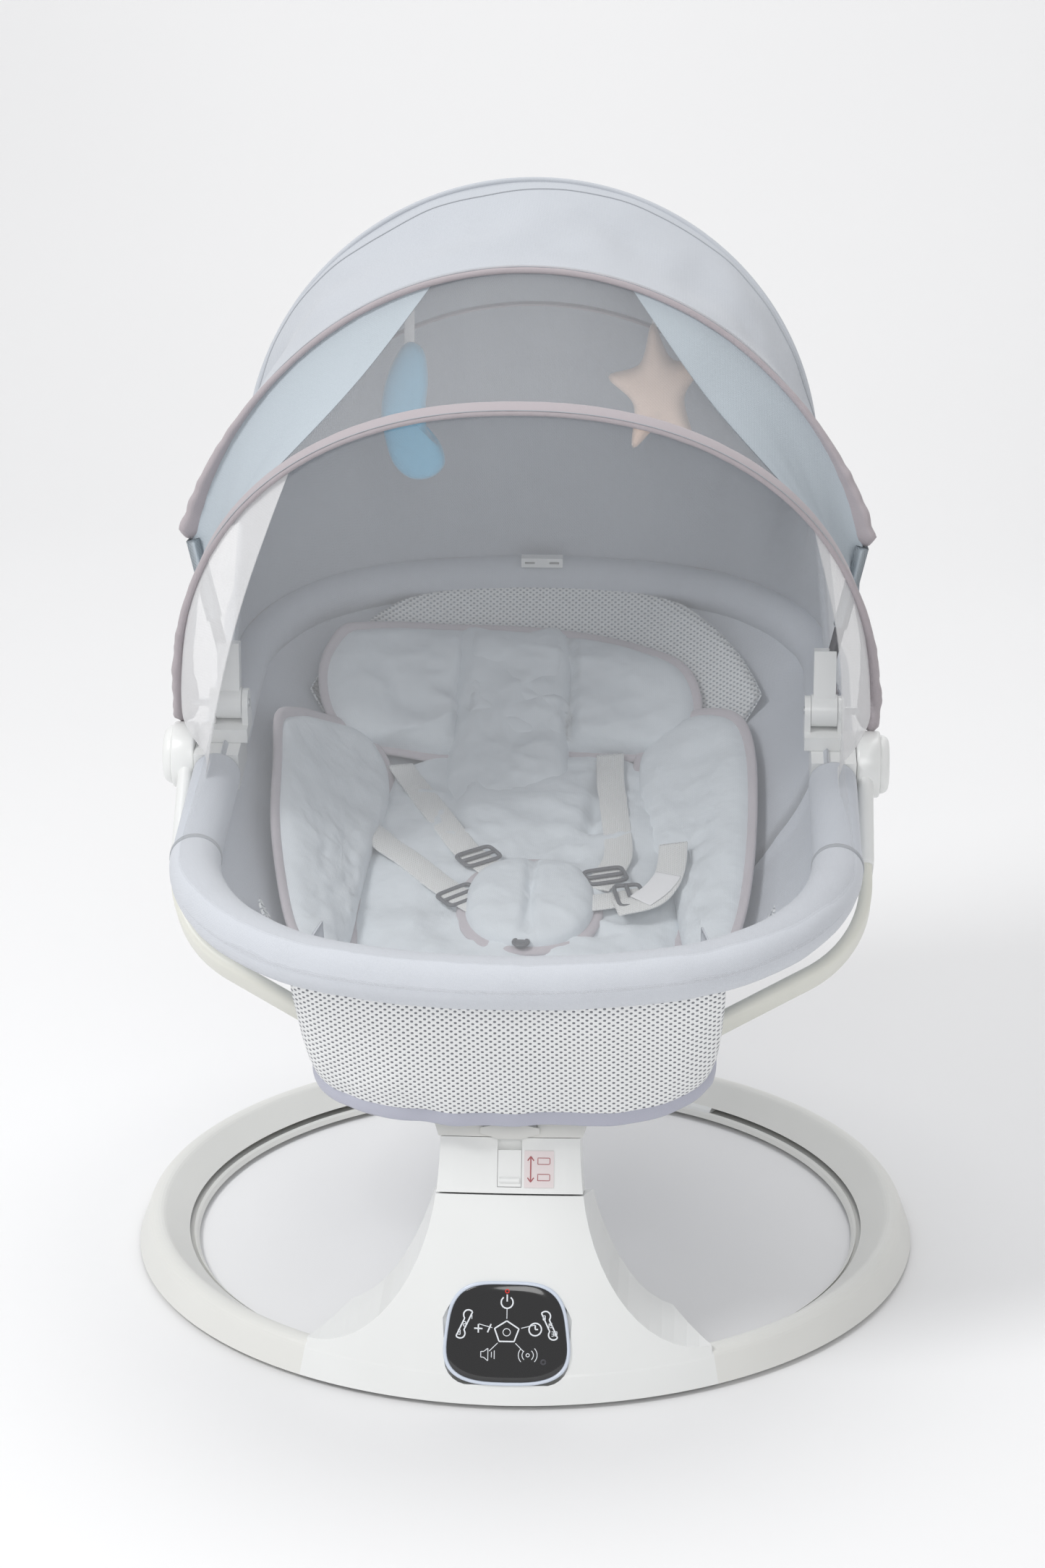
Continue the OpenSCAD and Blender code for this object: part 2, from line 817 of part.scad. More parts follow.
module rim_cover() {
    color(fabric_blue)
        seat_frame() {
            rim_end(rim_cover_r, rim_tube_r + slip_gap, 3, 3);
            both_sides() rim_side(rim_cover_r, rim_tube_r + slip_gap, cover_start, rim_straight - joint_gap);
            both_sides() rim_side(rim_cover_r, rim_tube_r + slip_gap, -rim_straight, -cover_start);
        }
}

module front_sleeve() {
    color(fabric_blue)
        seat_frame() translate([0, -0.5, 0]) rotate([0, 0, 180])
            rim_end(rim_cover_r, rim_tube_r + slip_gap + 0.5, 3, 3);
}

// ---------- hammock and pads ----------

// A rounded-rectangle loop of half sizes a and b, centred at y0
function oval_loop(a, b, y0, z, n, power) = [
    for (i = [0:n - 1])
        let (t = 360 * i / n, c = cos(t), s = sin(t))
        [
            a * sign(c) * pow(abs(c), 2 / power),
            y0 + b * sign(s) * pow(abs(s), 2 / power),
            z
        ]
];

// A solid from a stack of loops of n points, closed by its first and last loop
module loft(loops, n) {
    k = len(loops);
    sides = [for (i = [0:k - 2]) for (j = [0:n - 1])
        let (a = i * n + j, b = i * n + (j + 1) % n, c = b + n, d = a + n)
        for (f = [[a, b, c], [a, c, d]]) f];
    polyhedron(
        points = [for (l = loops) for (p = l) p],
        faces = concat(sides, [[for (j = [n - 1:-1:0]) j], [for (j = [0:n - 1]) (k - 1) * n + j]]),
        convexity = 8
    );
}

// Half width, half length, middle and level of the bowl at depth 0 to 1
function bowl_level(t, inset) =
    let (e = 1 - pow(1 - t, 1.7), top_a = rim_half_w - rim_cover_r - 1.5, top_b = rim_half_l - rim_cover_r - 1.5)
    [
        mix(top_a, 112, pow(t, 1.4)) - inset,
        mix(top_b, 155, pow(t, 1.25)) - inset,
        mix(0, -45, t),
        -6 - (bowl_depth - 6) * e
    ];

function bowl_point(t, angle, inset, lift) =
    let (l = bowl_level(t, inset))
    [
        l[0] * sign(cos(angle)) * pow(abs(cos(angle)), 2 / bowl_power),
        l[2] + l[1] * sign(sin(angle)) * pow(abs(sin(angle)), 2 / bowl_power),
        l[3] + lift * t
    ];

// One sewn panel of the bowl between two depths and two angles
module bowl_panel(t0, t1, a0, a1) {
    rows = 4;
    cols = 5;
    sheet_solid(
        [for (i = [0:rows - 1]) for (j = [0:cols - 1])
            bowl_point(mix(t1, t0, i / (rows - 1)), mix(a0, a1, j / (cols - 1)), 0, 0)],
        [for (i = [0:rows - 1]) for (j = [0:cols - 1])
            bowl_point(mix(t1, t0, i / (rows - 1)), mix(a0, a1, j / (cols - 1)), cloth_t, cloth_t)],
        rows, cols
    );
}

module hammock() {
    panel_a = 360 / bowl_panels;
    color(fabric_blue)
        seat_frame() {
            for (k = [0:bowl_panels - 1]) {
                bowl_panel(0, 0.4, (k - 0.5) * panel_a + 0.01, (k + 0.5) * panel_a);
                bowl_panel(0.401, 0.999, (k - 0.5) * panel_a + 0.01, (k + 0.5) * panel_a);
            }
            loft([for (t = [0, 1])
                let (l = bowl_level(1, 2 * t + 0.2))
                oval_loop(l[0], l[1], l[2], l[3] + cloth_t * t, 56, bowl_power)], 56);
        }
}

// The mesh wall that hangs in front of the hammock, down to its bound lower edge
module mesh_front() {
    bottom = -138;
    top = -20;
    color(mesh_white)
        seat_frame()
            rotate([90, 0, 90]) translate([0, 0, -142]) linear_extrude(284)
                polygon([
                    [-rim_half_l + 13.5, top], [-rim_half_l + 18, top], [-262, -110], [-246, bottom + 6],
                    [-252, bottom], [-275, bottom], [-282, -100]
                ]);
}

// A soft pad: a stack of loops that swells between its two faces
function pad_loops(a, b, y0, z0, h, power) = [
    for (i = [0:6])
        let (t = i / 6, e = pow(abs(2 * t - 1), 2.6))
        oval_loop(a * (1 - 0.12 * e), b * (1 - 0.12 * e), y0, z0 + h * t, 40, power)
];

module body_liner() {
    color(fabric_blue)
        seat_frame() loft(pad_loops(96, 138, -42, -bowl_depth + 5, 16, 2.8), 40);
}

module head_pad() {
    color(fabric_blue)
        seat_frame() translate([0, 178, -37]) rotate([30, 0, 0])
            loft(pad_loops(112, 62, 0, 0, 22, 3.2), 40);
}

module side_wings() {
    color(fabric_blue)
        seat_frame() both_sides()
            translate([154, -40, -52]) rotate([0, -54, 0]) rotate([0, 0, 8])
                loft(pad_loops(44, 112, 0, 0, 12, 2.4), 40);
}

module crotch_pad() {
    color(fabric_blue)
        seat_frame() translate([0, -158, -62]) rotate([40, 0, 0])
            loft(pad_loops(42, 34, 0, 0, 10, 2.2), 40);
}

// One straight run of webbing from a to b in the seat's frame
module web(a, b, w, t) {
    d = b - a;
    translate(a) rotate([0, -atan2(d[2], norm([d[0], d[1]])), 0] + [0, 0, atan2(d[1], d[0])])
        translate([0, -w / 2, 0]) cube([norm(d), w, t]);
}

web_w = 22;
web_t = 1.6;

module harness() {
    color(webbing_grey)
        seat_frame() both_sides() {
            web([70, 100, -62], [34, -112, -56], web_w, web_t);
            web([96, -100, -72], [44, -142, -62], web_w, web_t);
        }
}

module tri_glides() {
    color(off_white)
        seat_frame() both_sides() {
            difference() {
                translate([38, -96, -51.5]) cube([30, 17, 3], center = true);
                translate([38, -92, -51.5]) cube([24, 3.4, 6], center = true);
                translate([38, -100, -51.5]) cube([24, 3.4, 6], center = true);
            }
        }
}

module rear_clip() {
    color(white)
        seat_frame() translate([0, rim_half_l - 12, rim_cover_r - 1.6])
            difference() {
                block([-17, -4, 0], [17, 4, 8]);
                for (x = [-10, 10]) block([x - 4, -6, 3], [x + 4, 6, 5]);
            }
}

// ---------- canopy ----------

module canopy_saddles() {
    ear_t = saddle_half_w - boss_half_w - slip_gap;
    color(white)
        seat_frame() both_sides() translate([saddle_x, pivot_seat_y, 0])
            difference() {
                union() {
                    block([-saddle_half_w, -20, 14.3], [saddle_half_w, 12, pivot_seat_z - boss_r - 1]);
                    for (s = [-1, 1]) {
                        translate([s * (saddle_half_w - ear_t / 2) - ear_t / 2, 0, pivot_seat_z])
                            rotate([0, 90, 0]) cylinder(h = ear_t, r = boss_r - 1);
                        block([s * (saddle_half_w - ear_t / 2) - ear_t / 2, -11, pivot_seat_z - boss_r - 2],
                              [s * (saddle_half_w - ear_t / 2) + ear_t / 2, 11, pivot_seat_z]);
                    }
                }
                translate([-saddle_half_w - 1, 0, pivot_seat_z]) rotate([0, 90, 0])
                    cylinder(h = 2 * saddle_half_w + 2, r = pin_r + fit_gap);
            }
}

module canopy_pins() {
    color(steel)
        both_sides() translate([0, pivot_y, pivot_z])
            rod_x(saddle_x - saddle_half_w - 0.6, front_r + 2, pin_r);
}

module canopy_arms() {
    color(white)
        both_sides() bow_frame(mid_lean) difference() {
            union() {
                rod_x(saddle_x - boss_half_w, saddle_x + boss_half_w, boss_r);
                block([saddle_x - 8.2, -6.5, 0], [saddle_x + 8.2, 6.5, 46]);
            }
            rod_x(saddle_x - 20, saddle_x + 20, pin_r + run_gap);
            mid_strip(strip_t + 0.4, strip_w + 0.4);
            block([saddle_x + 7.4, -4, 20], [saddle_x + 9, 4, 42]);
        }
}

// The middle bow's right foot, which leans out to meet the arch
module mid_strip(t, w) {
    translate([saddle_x, 0, mid_foot]) rotate([0, mid_tilt, 0])
        translate([-t / 2, -w / 2, 0]) cube([t, w, norm(mid_strip_top - [saddle_x, mid_foot]) + 2]);
}

module bow_arch(r, c, from_angle, t, w) {
    translate([0, 0, c]) rotate([90, 0, 0]) rotate([0, 0, from_angle])
        rotate_extrude(angle = 180 - 2 * from_angle, $fn = 96)
            translate([r - t / 2, -w / 2]) square([t, w]);
}

leg_foot = seat_to_world([rim_half_w, leg_y, rim_cover_r + 5]);
leg_top = bow_point(main_r, main_c, main_lean, 0);
leg_way = leg_top - leg_foot;

// The main bow's right leg, from the rim up to the arch
module main_leg() {
    translate(leg_foot) rotate([-atan2(leg_way[1], leg_way[2]), 0, 0])
        rotate([0, -atan2(-leg_way[0], norm([leg_way[1], leg_way[2]])), 0]) {
            translate([-strip_t / 2, -strip_w / 2, 0]) cube([strip_t, strip_w, norm(leg_way) + 2]);
            translate([-7, -9, -1.5]) cube([14, 18, 4]);
        }
}

module main_bow() {
    color(dark) {
        both_sides() main_leg();
        bow_frame(main_lean) bow_arch(main_r, main_c, 0, strip_t, strip_w);
    }
}

module mid_bow() {
    color([0.6, 0.57, 0.6])
        bow_frame(mid_lean) {
            bow_arch(mid_r, mid_c, mid_start, 7, 9);
            both_sides() mid_strip(strip_t, strip_w);
        }
}

module front_bow() {
    color([0.6, 0.57, 0.6])
        bow_frame(front_lean) difference() {
            union() {
                bow_arch(front_r, front_c, front_start, 7, 9);
                both_sides() rod_x(front_r - 6, front_r + 3, eyelet_r);
            }
            both_sides() rod_x(front_r - 12, front_r + 8, pin_r + run_gap);
        }
}

// A point of a bow's plane, moved by "off" along the plane's normal (backward)
function bow_point(x, h, lean, off) = [
    x,
    pivot_y + h * sin(lean) + off * cos(lean),
    pivot_z + h * cos(lean) - off * sin(lean)
];

// Points along each bow from its right end (s = 0) to its left end (s = 1)
leg_share = 0.12;

function main_curve(s, low, off) =
    let (m = min(s, 1 - s), side = s > 0.5 ? -1 : 1,
        p = m < leg_share ? mix(leg_foot, leg_top, mix(low, 1, m / leg_share)) + [0, off, 0]
            : bow_point(main_r * cos(180 * (m - leg_share) / (1 - 2 * leg_share)),
                main_c + main_r * sin(180 * (m - leg_share) / (1 - 2 * leg_share)), main_lean, off))
    [side * p[0], p[1], p[2]];

function mid_curve(s, off) =
    let (a = mix(mid_start, 180 - mid_start, s)) bow_point(mid_r * cos(a), mid_c + mid_r * sin(a), mid_lean, off);

function front_curve(s, off) =
    let (a = mix(front_start, 180 - front_start, s))
    bow_point(front_r * cos(a), front_c + front_r * sin(a), front_lean, off);

// A point on the rim's rear half at a share s of its length, from the right side to the left
rim_corner_len = rim_corner_r * rim_corner_a * PI / 180;
rim_end_len = 2 * rim_end_r * rim_end_a * PI / 180;

function rim_half_point(s, start) =
    let (side = rim_straight - start, total = 2 * side + 2 * rim_corner_len + rim_end_len,
        m = s > 0.5 ? 1 - s : s, d = m * total,
        p = d < side ? [rim_half_w, start + d]
            : d < side + rim_corner_len
                ? let (a = (d - side) / rim_corner_r * 180 / PI)
                    [rim_corner_c + rim_corner_r * cos(a), rim_straight + rim_corner_r * sin(a)]
                : let (a = 90 - rim_end_a + (d - side - rim_corner_len) / rim_end_r * 180 / PI)
                    [rim_end_r * cos(a), rim_end_c + rim_end_r * sin(a)])
    s > 0.5 ? [-p[0], p[1]] : p;

function seat_to_world(p) = [
    p[0],
    p[1] * cos(seat_tilt) - p[2] * sin(seat_tilt),
    hub_z + p[1] * sin(seat_tilt) + p[2] * cos(seat_tilt)
];

function rim_curve(s, start, side, lift) =
    let (p = rim_half_point(s, start)) seat_to_world([p[0], side * p[1], lift]);

// A cloth panel stretched between two curves, swelling out by bulge in its middle
module cloth_between(a, b, rows, bulge) {
    cols = len(a);
    outer = [for (i = [0:rows - 1]) for (j = [0:cols - 1])
        let (t = i / (rows - 1), p = mix(a[j], b[j], t)) p + bulge * 4 * t * (1 - t) * unit(p - cloth_centre)];
    inner = [for (p = outer) p - cloth_t * unit(p - cloth_centre)];
    sheet_solid(outer, inner, rows, cols);
}

cloth_cols = 32;

module hood() {
    color(fabric_blue)
        cloth_between(
            [for (j = [0:cloth_cols]) mid_curve(j / cloth_cols, cloth_gap)],
            [for (j = [0:cloth_cols]) main_curve(j / cloth_cols, 0.72, -cloth_gap)], 6, 2);
}

// Sewn from narrow gores that run down from the bow to the rim
module rear_panel() {
    step = 1 / rear_gores;
    color(fabric_blue)
        for (k = [0:rear_gores - 1])
            let (shares = [k * step + 0.0001, (k + 0.5) * step, (k + 1) * step])
            cloth_between(
                [for (s = shares) main_curve(s, 0.06, cloth_gap)],
                [for (s = shares) rim_curve(s, leg_y + 14, 1, rim_cover_r + 3)], 8, 8);
}

module net_panel() {
    color([0.75, 0.78, 0.8, 0.5])
        cloth_between(
            [for (j = [0:cloth_cols]) front_curve(j / cloth_cols, cloth_gap)],
            [for (j = [0:cloth_cols]) mid_curve(j / cloth_cols, -cloth_gap)], 6, 2);
}

module mosquito_net() {
    color([0.8, 0.82, 0.85, 0.4])
        cloth_between(
            [for (j = [0:cloth_cols]) rim_curve(j / cloth_cols, 44, -1, rim_cover_r + 3)],
            [for (j = [0:cloth_cols]) front_curve(mix(0.04, 0.96, j / cloth_cols), -cloth_gap)], 10, 14);
}

// ---------- toys ----------

toy_y = 125;
toy_top = 746;
band_r = 240;

module hood_band() {
    color([0.6, 0.57, 0.6])
        translate([0, toy_y + 45, 700 - band_r]) rotate([90, 0, 0]) rotate([0, 0, 55])
            rotate_extrude(angle = 70, $fn = 96) translate([band_r - 1, -6]) square([2, 12]);
}

// The loop and ribbon that a toy hangs from
module toy_ribbon(x, length) {
    translate([x, toy_y, toy_top]) {
        rotate([0, 90, 0]) cylinder(h = 8, r = 2, center = true);
        translate([-4, -0.8, -length]) cube([8, 1.6, length]);
    }
}

module moon_toy() {
    color([0.35, 0.62, 0.82]) {
        toy_ribbon(-92, 90);
        translate([-60, toy_y, 622]) rotate([90, 0, 0]) {
            rotate([0, 0, 138]) rotate_extrude(angle = 94, $fn = 60) translate([40, 0]) circle(r = 13, $fn = 24);
            translate([-28, 25, 0]) sphere(r = 14);
            translate([-24, -34, 0]) sphere(r = 15);
        }
    }
}

module star_toy() {
    star_r = 44;
    color([0.92, 0.80, 0.74]) {
        toy_ribbon(95, 62);
        translate([95, toy_y + 9, 646]) rotate([90, 0, 0]) linear_extrude(18)
            polygon([for (i = [0:9]) let (r = i % 2 == 0 ? star_r : star_r / 2, a = 98 + 36 * i) [r * cos(a), r * sin(a)]]);
    }
}

base_front_shell();
base_bottom_cover();
tower_rear_cover();
ring_left();
ring_right();
ring_rear();
ring_tongues();
base_feet();
base_screws();
panel_bezel();
panel_glass();
panel_board();
speaker();
drive_coil();
shaft_carrier();
swing_shaft();
dc_inlet();
head_front_shell();
head_rear_shell();
head_core();
swing_bearings();
drive_magnet();
label_plate();
seat_bracket();
arm_left();
arm_right();
hub_left();
hub_right();
release_springs();
lock_slider();
release_lever();
recline_button_left();
recline_button_right();
rim_front_tube();
rim_rear_tube();
hub_blocks();
rim_cover();
front_sleeve();
hammock();
mesh_front();
body_liner();
head_pad();
side_wings();
crotch_pad();
harness();
tri_glides();
rear_clip();
canopy_saddles();
canopy_pins();
canopy_arms();
main_bow();
hood();
rear_panel();
mid_bow();
net_panel();
front_bow();
mosquito_net();
hood_band();
moon_toy();
star_toy();
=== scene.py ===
import math

import bmesh
import bpy
import numpy as np
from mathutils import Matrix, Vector, noise


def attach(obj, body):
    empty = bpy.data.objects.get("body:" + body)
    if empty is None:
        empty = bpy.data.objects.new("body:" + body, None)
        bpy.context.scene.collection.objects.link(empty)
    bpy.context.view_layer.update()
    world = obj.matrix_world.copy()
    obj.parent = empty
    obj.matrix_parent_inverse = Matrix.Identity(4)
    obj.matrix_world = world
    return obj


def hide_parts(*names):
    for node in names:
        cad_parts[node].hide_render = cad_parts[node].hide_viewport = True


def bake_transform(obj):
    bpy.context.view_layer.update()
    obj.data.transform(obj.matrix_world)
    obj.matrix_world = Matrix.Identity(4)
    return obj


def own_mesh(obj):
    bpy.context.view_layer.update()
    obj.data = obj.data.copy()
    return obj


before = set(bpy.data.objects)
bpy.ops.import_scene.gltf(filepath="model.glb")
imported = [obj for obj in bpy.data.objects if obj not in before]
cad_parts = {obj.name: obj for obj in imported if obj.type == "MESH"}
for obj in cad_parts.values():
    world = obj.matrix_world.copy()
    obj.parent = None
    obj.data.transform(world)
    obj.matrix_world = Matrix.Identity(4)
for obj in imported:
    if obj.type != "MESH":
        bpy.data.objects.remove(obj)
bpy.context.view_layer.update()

# ---------------------------------------------------------------- camera, lights, floor

scene = bpy.context.scene
camera_data = bpy.data.cameras.new("camera")
camera = bpy.data.objects.new("camera", camera_data)
scene.collection.objects.link(camera)
camera.location = (0.1194, -2.5792, 1.2173)
aim = Vector((-0.0022, 0.0, 0.3664))
camera.rotation_mode = "QUATERNION"
camera.rotation_quaternion = (aim - camera.location).to_track_quat("-Z", "Y")
camera_data.sensor_width = 36
camera_data.lens = 5000 / 2168 * 36
camera_data.clip_start, camera_data.clip_end = 0.1, 60
scene.camera = camera
scene.view_settings.view_transform = "Standard"
scene.view_settings.look = "None"

world = bpy.data.worlds.new("studio")
scene.world = world
world.use_nodes = True
world.node_tree.nodes["Background"].inputs["Color"].default_value = (0.965, 0.965, 0.97, 1)
world.node_tree.nodes["Background"].inputs["Strength"].default_value = 0.54


def area_light(name, place, target, size, power):
    data = bpy.data.lights.new(name, "AREA")
    data.shape, data.size, data.energy = "DISK", size, power
    light = bpy.data.objects.new(name, data)
    scene.collection.objects.link(light)
    light.location = place
    light.rotation_mode = "QUATERNION"
    light.rotation_quaternion = (Vector(target) - Vector(place)).to_track_quat("-Z", "Y")


area_light("key", (-1.7, -1.5, 2.7), (0, 0, 0.35), 1.0, 42)
area_light("front", (0.3, -2.9, 1.9), (0, 0, 0.4), 1.3, 13)
area_light("top", (0.1, 0.9, 2.9), (0, 0.3, 0.3), 2.0, 24)
area_light("back", (0.0, 1.9, 2.6), (0, 3.4, 1.8), 1.8, 10)


def new_object(name, verts, faces):
    data = bpy.data.meshes.new(name)
    data.from_pydata([tuple(v) for v in verts], [], [tuple(f) for f in faces])
    data.validate()
    data.update()
    for p in data.polygons:
        p.use_smooth = True
    obj = bpy.data.objects.new(name, data)
    scene.collection.objects.link(obj)
    return obj


# ---------------------------------------------------------------- materials


def base_material(name, colour, rough, metallic=0.0, sheen=0.0, coat=0.0, specular=0.5, alpha=1.0):
    m = bpy.data.materials.new(name)
    m.use_nodes = True
    shader = m.node_tree.nodes["Principled BSDF"]
    shader.inputs["Base Color"].default_value = (*colour, 1)
    shader.inputs["Roughness"].default_value = rough
    shader.inputs["Metallic"].default_value = metallic
    shader.inputs["Specular IOR Level"].default_value = specular
    shader.inputs["Sheen Weight"].default_value = sheen
    shader.inputs["Sheen Roughness"].default_value = 0.5
    shader.inputs["Coat Weight"].default_value = coat
    shader.inputs["Coat Roughness"].default_value = 0.12
    shader.inputs["Alpha"].default_value = alpha
    m.diffuse_color = (*colour, alpha)
    return m, m.node_tree, shader


def node(tree, kind, **values):
    n = tree.nodes.new(kind)
    for k, v in values.items():
        if k.startswith("in_"):
            n.inputs[k[3:].replace("_", " ")].default_value = v
        else:
            setattr(n, k, v)
    return n


def maths(tree, operation, *terms):
    """A Math node; each term is a number or another node's output."""
    n = node(tree, "ShaderNodeMath", operation=operation)
    for socket, term in zip(n.inputs, terms):
        if isinstance(term, float):
            socket.default_value = term
        else:
            tree.links.new(term, socket)
    return n.outputs[0]


def texture(tree, coords, kind, **values):
    n = node(tree, kind, **values)
    tree.links.new(coords.outputs["Object"], n.inputs["Vector"])
    return n.outputs["Fac"]


def two_tone(tree, factor, low, high, start=0.3, end=0.7):
    ramp = node(tree, "ShaderNodeValToRGB")
    ramp.color_ramp.elements[0].position, ramp.color_ramp.elements[1].position = start, end
    ramp.color_ramp.elements[0].color = (*low, 1)
    ramp.color_ramp.elements[1].color = (*high, 1)
    tree.links.new(factor, ramp.inputs["Fac"])
    return ramp.outputs["Color"]


def bump(tree, shader, height, strength, distance, chained=None):
    b = node(tree, "ShaderNodeBump", in_Strength=strength, in_Distance=distance)
    tree.links.new(height, b.inputs["Height"])
    if chained is not None:
        tree.links.new(chained, b.inputs["Normal"])
    tree.links.new(b.outputs["Normal"], shader.inputs["Normal"])
    return b.outputs["Normal"]


def shade(colour, k):
    return tuple(min(1.0, c * k) for c in colour)


def plastic(name, colour, rough, coat=0.0, grain=900, depth=0.00006, spread=0.02):
    """Moulded plastic: a fine grain in the surface and a faint broad change of tone."""
    m, tree, shader = base_material(name, colour, rough, coat=coat)
    coords = node(tree, "ShaderNodeTexCoord")
    fine = texture(tree, coords, "ShaderNodeTexNoise", in_Scale=grain, in_Detail=3.0)
    broad = texture(tree, coords, "ShaderNodeTexNoise", in_Scale=9.0, in_Detail=2.0)
    tone = two_tone(tree, broad, shade(colour, 1 - spread), shade(colour, 1 + spread))
    tree.links.new(tone, shader.inputs["Base Color"])
    bump(tree, shader, fine, 0.25, depth)
    return m


def fabric(name, colour, thread=0.0011, weave=0.35, spread=0.045, sheen=0.25, alpha=1.0, wrinkle=0.0):
    """Woven cloth: crossed threads of one width in metres, uneven yarn, and soft wrinkles if asked."""
    m, tree, shader = base_material(name, colour, 0.85, sheen=sheen, specular=0.25, alpha=alpha)
    coords = node(tree, "ShaderNodeTexCoord")
    broad = texture(tree, coords, "ShaderNodeTexNoise", in_Scale=14.0, in_Detail=4.0)
    yarn = texture(tree, coords, "ShaderNodeTexNoise", in_Scale=700.0, in_Detail=2.0)
    scale = 2 * math.pi / 20 / thread
    across = texture(tree, coords, "ShaderNodeTexWave", bands_direction="X", in_Scale=scale)
    along = texture(tree, coords, "ShaderNodeTexWave", bands_direction="DIAGONAL", in_Scale=scale)
    mixed = maths(tree, "MULTIPLY_ADD", yarn, 0.5, broad)
    tone = two_tone(tree, mixed, shade(colour, 1 - spread), shade(colour, 1 + spread))
    tree.links.new(tone, shader.inputs["Base Color"])
    first = bump(tree, shader, maths(tree, "MULTIPLY", across, along), weave, 0.0004)
    if wrinkle:
        soft = texture(tree, coords, "ShaderNodeTexNoise", in_Scale=22.0, in_Detail=3.0)
        bump(tree, shader, soft, wrinkle, 0.01, first)
    return m


def mesh_cloth(name, colour, hole_shade, pitch_x, pitch_z, turned=0.0, share=0.25):
    """White spacer mesh: rows of oval holes, set in two staggered grids; the dark colour in the holes is painted
    shade, standing for the shaded backing seen through them.
    """
    m, tree, shader = base_material(name, colour, 0.8, sheen=0.2, specular=0.2)
    coords = node(tree, "ShaderNodeTexCoord")
    split = node(tree, "ShaderNodeSeparateXYZ")
    tree.links.new(coords.outputs["Object"], split.inputs[0])
    height = maths(tree, "MULTIPLY_ADD", split.outputs["Y"], turned, split.outputs["Z"])
    waves = [maths(tree, "SINE", maths(tree, "MULTIPLY", source, math.pi / pitch))
             for source, pitch in ((split.outputs["X"], pitch_x), (height, pitch_z))]
    both = maths(tree, "MULTIPLY", *waves)
    # the second colour fills the holes with painted shade
    tree.links.new(two_tone(tree, both, colour, hole_shade, share, share + 0.25), shader.inputs["Base Color"])
    bump(tree, shader, maths(tree, "MULTIPLY", both, -1.0), 0.5, 0.001)
    return m


def metal(name, colour, rough):
    m, tree, shader = base_material(name, colour, rough, metallic=1.0)
    coords = node(tree, "ShaderNodeTexCoord")
    streak = texture(tree, coords, "ShaderNodeTexNoise", in_Scale=300.0, in_Detail=4.0)
    tone = two_tone(tree, streak, shade(colour, 0.94), shade(colour, 1.05))
    tree.links.new(tone, shader.inputs["Base Color"])
    bump(tree, shader, streak, 0.15, 0.0001)
    return m


M = {
    "white": plastic("white_plastic", (0.85, 0.86, 0.85), 0.3, coat=0.3),
    "off_white": plastic("warm_white_plastic", (0.79, 0.79, 0.76), 0.42),
    "cream": plastic("cream_plastic", (0.80, 0.80, 0.73), 0.38),
    "rubber": plastic("foot_rubber", (0.03, 0.03, 0.032), 0.8, grain=1500, depth=0.0002),
    "black": plastic("black_plastic", (0.02, 0.02, 0.022), 0.5),
    "glass": plastic("panel_gloss", (0.004, 0.004, 0.005), 0.09, coat=1.0, grain=60, depth=0.00001),
    "bezel": plastic("panel_bezel_plastic", (0.66, 0.72, 0.82), 0.25, coat=0.4),
    "icon": plastic("icon_ink", (0.85, 0.88, 0.92), 0.5),
    "lamp": plastic("lamp_red", (0.75, 0.03, 0.02), 0.3),
    "board": plastic("board_green", (0.02, 0.12, 0.05), 0.5),
    "label": plastic("label_film", (0.80, 0.72, 0.72), 0.5),
    "label_ink": plastic("label_print", (0.42, 0.12, 0.13), 0.6),
    "steel": metal("bright_steel", (0.62, 0.63, 0.65), 0.32),
    "copper": metal("winding", (0.72, 0.36, 0.16), 0.35),
    "strip": plastic("coated_strip", (0.06, 0.06, 0.07), 0.45),
    "blue": fabric("blue_grey_weave", (0.56, 0.59, 0.64), wrinkle=0.18),
    "sleeve": fabric("fine_sleeve_weave", (0.61, 0.635, 0.68), thread=0.0008, wrinkle=0.12),
    "pad": fabric("pad_weave", (0.72, 0.765, 0.80), thread=0.0009, wrinkle=0.55),
    "hood": fabric("hood_weave", (0.50, 0.525, 0.565), thread=0.0010, wrinkle=0.1),
    "binding": fabric("binding_tape", (0.43, 0.39, 0.41), thread=0.0007, spread=0.06),
    "trim": fabric("pale_binding", (0.54, 0.50, 0.53), thread=0.0007, spread=0.05),
    "hem": fabric("lavender_hem", (0.47, 0.48, 0.56), thread=0.0007),
    "thread": fabric("stitch_thread", (0.40, 0.42, 0.45), thread=0.0005),
    "webbing": fabric("ribbed_webbing", (0.76, 0.765, 0.755), thread=0.0016, weave=0.9),
    "care": fabric("care_label", (0.86, 0.86, 0.87), thread=0.0006),
    "ribbon": fabric("white_ribbon", (0.80, 0.80, 0.80), thread=0.0006),
    "moon": fabric("moon_plush", (0.26, 0.58, 0.80), thread=0.0012, sheen=0.5, spread=0.07),
    "star": fabric("star_plush", (0.90, 0.70, 0.59), thread=0.0012, sheen=0.5, spread=0.05),
    "net": fabric("fine_net", (0.66, 0.67, 0.69), thread=0.0012, alpha=0.17, sheen=0.0),
    "hex_net": fabric("hex_net", (0.66, 0.67, 0.69), thread=0.0012, alpha=0.10, sheen=0.0),
    "gusset": fabric("net_gusset", (0.50, 0.555, 0.60), thread=0.0012, alpha=0.93, sheen=0.0),
    "veil": fabric("veil_edge", (0.84, 0.84, 0.85), thread=0.0012, alpha=0.55, sheen=0.0),
    # each spacer mesh's dark second colour is painted shade in its holes
    "mesh": mesh_cloth("spacer_mesh", (0.93, 0.94, 0.945), (0.20, 0.21, 0.23), 0.0030, 0.0024, share=0.32),
    "mesh_band": mesh_cloth("spacer_mesh_band", (0.80, 0.82, 0.83), (0.36, 0.39, 0.42), 0.0027, 0.0024, turned=0.6),
    "glide": plastic("grey_glide", (0.13, 0.135, 0.145), 0.35),
}

# ---------------------------------------------------------------- the carried-over CAD nodes

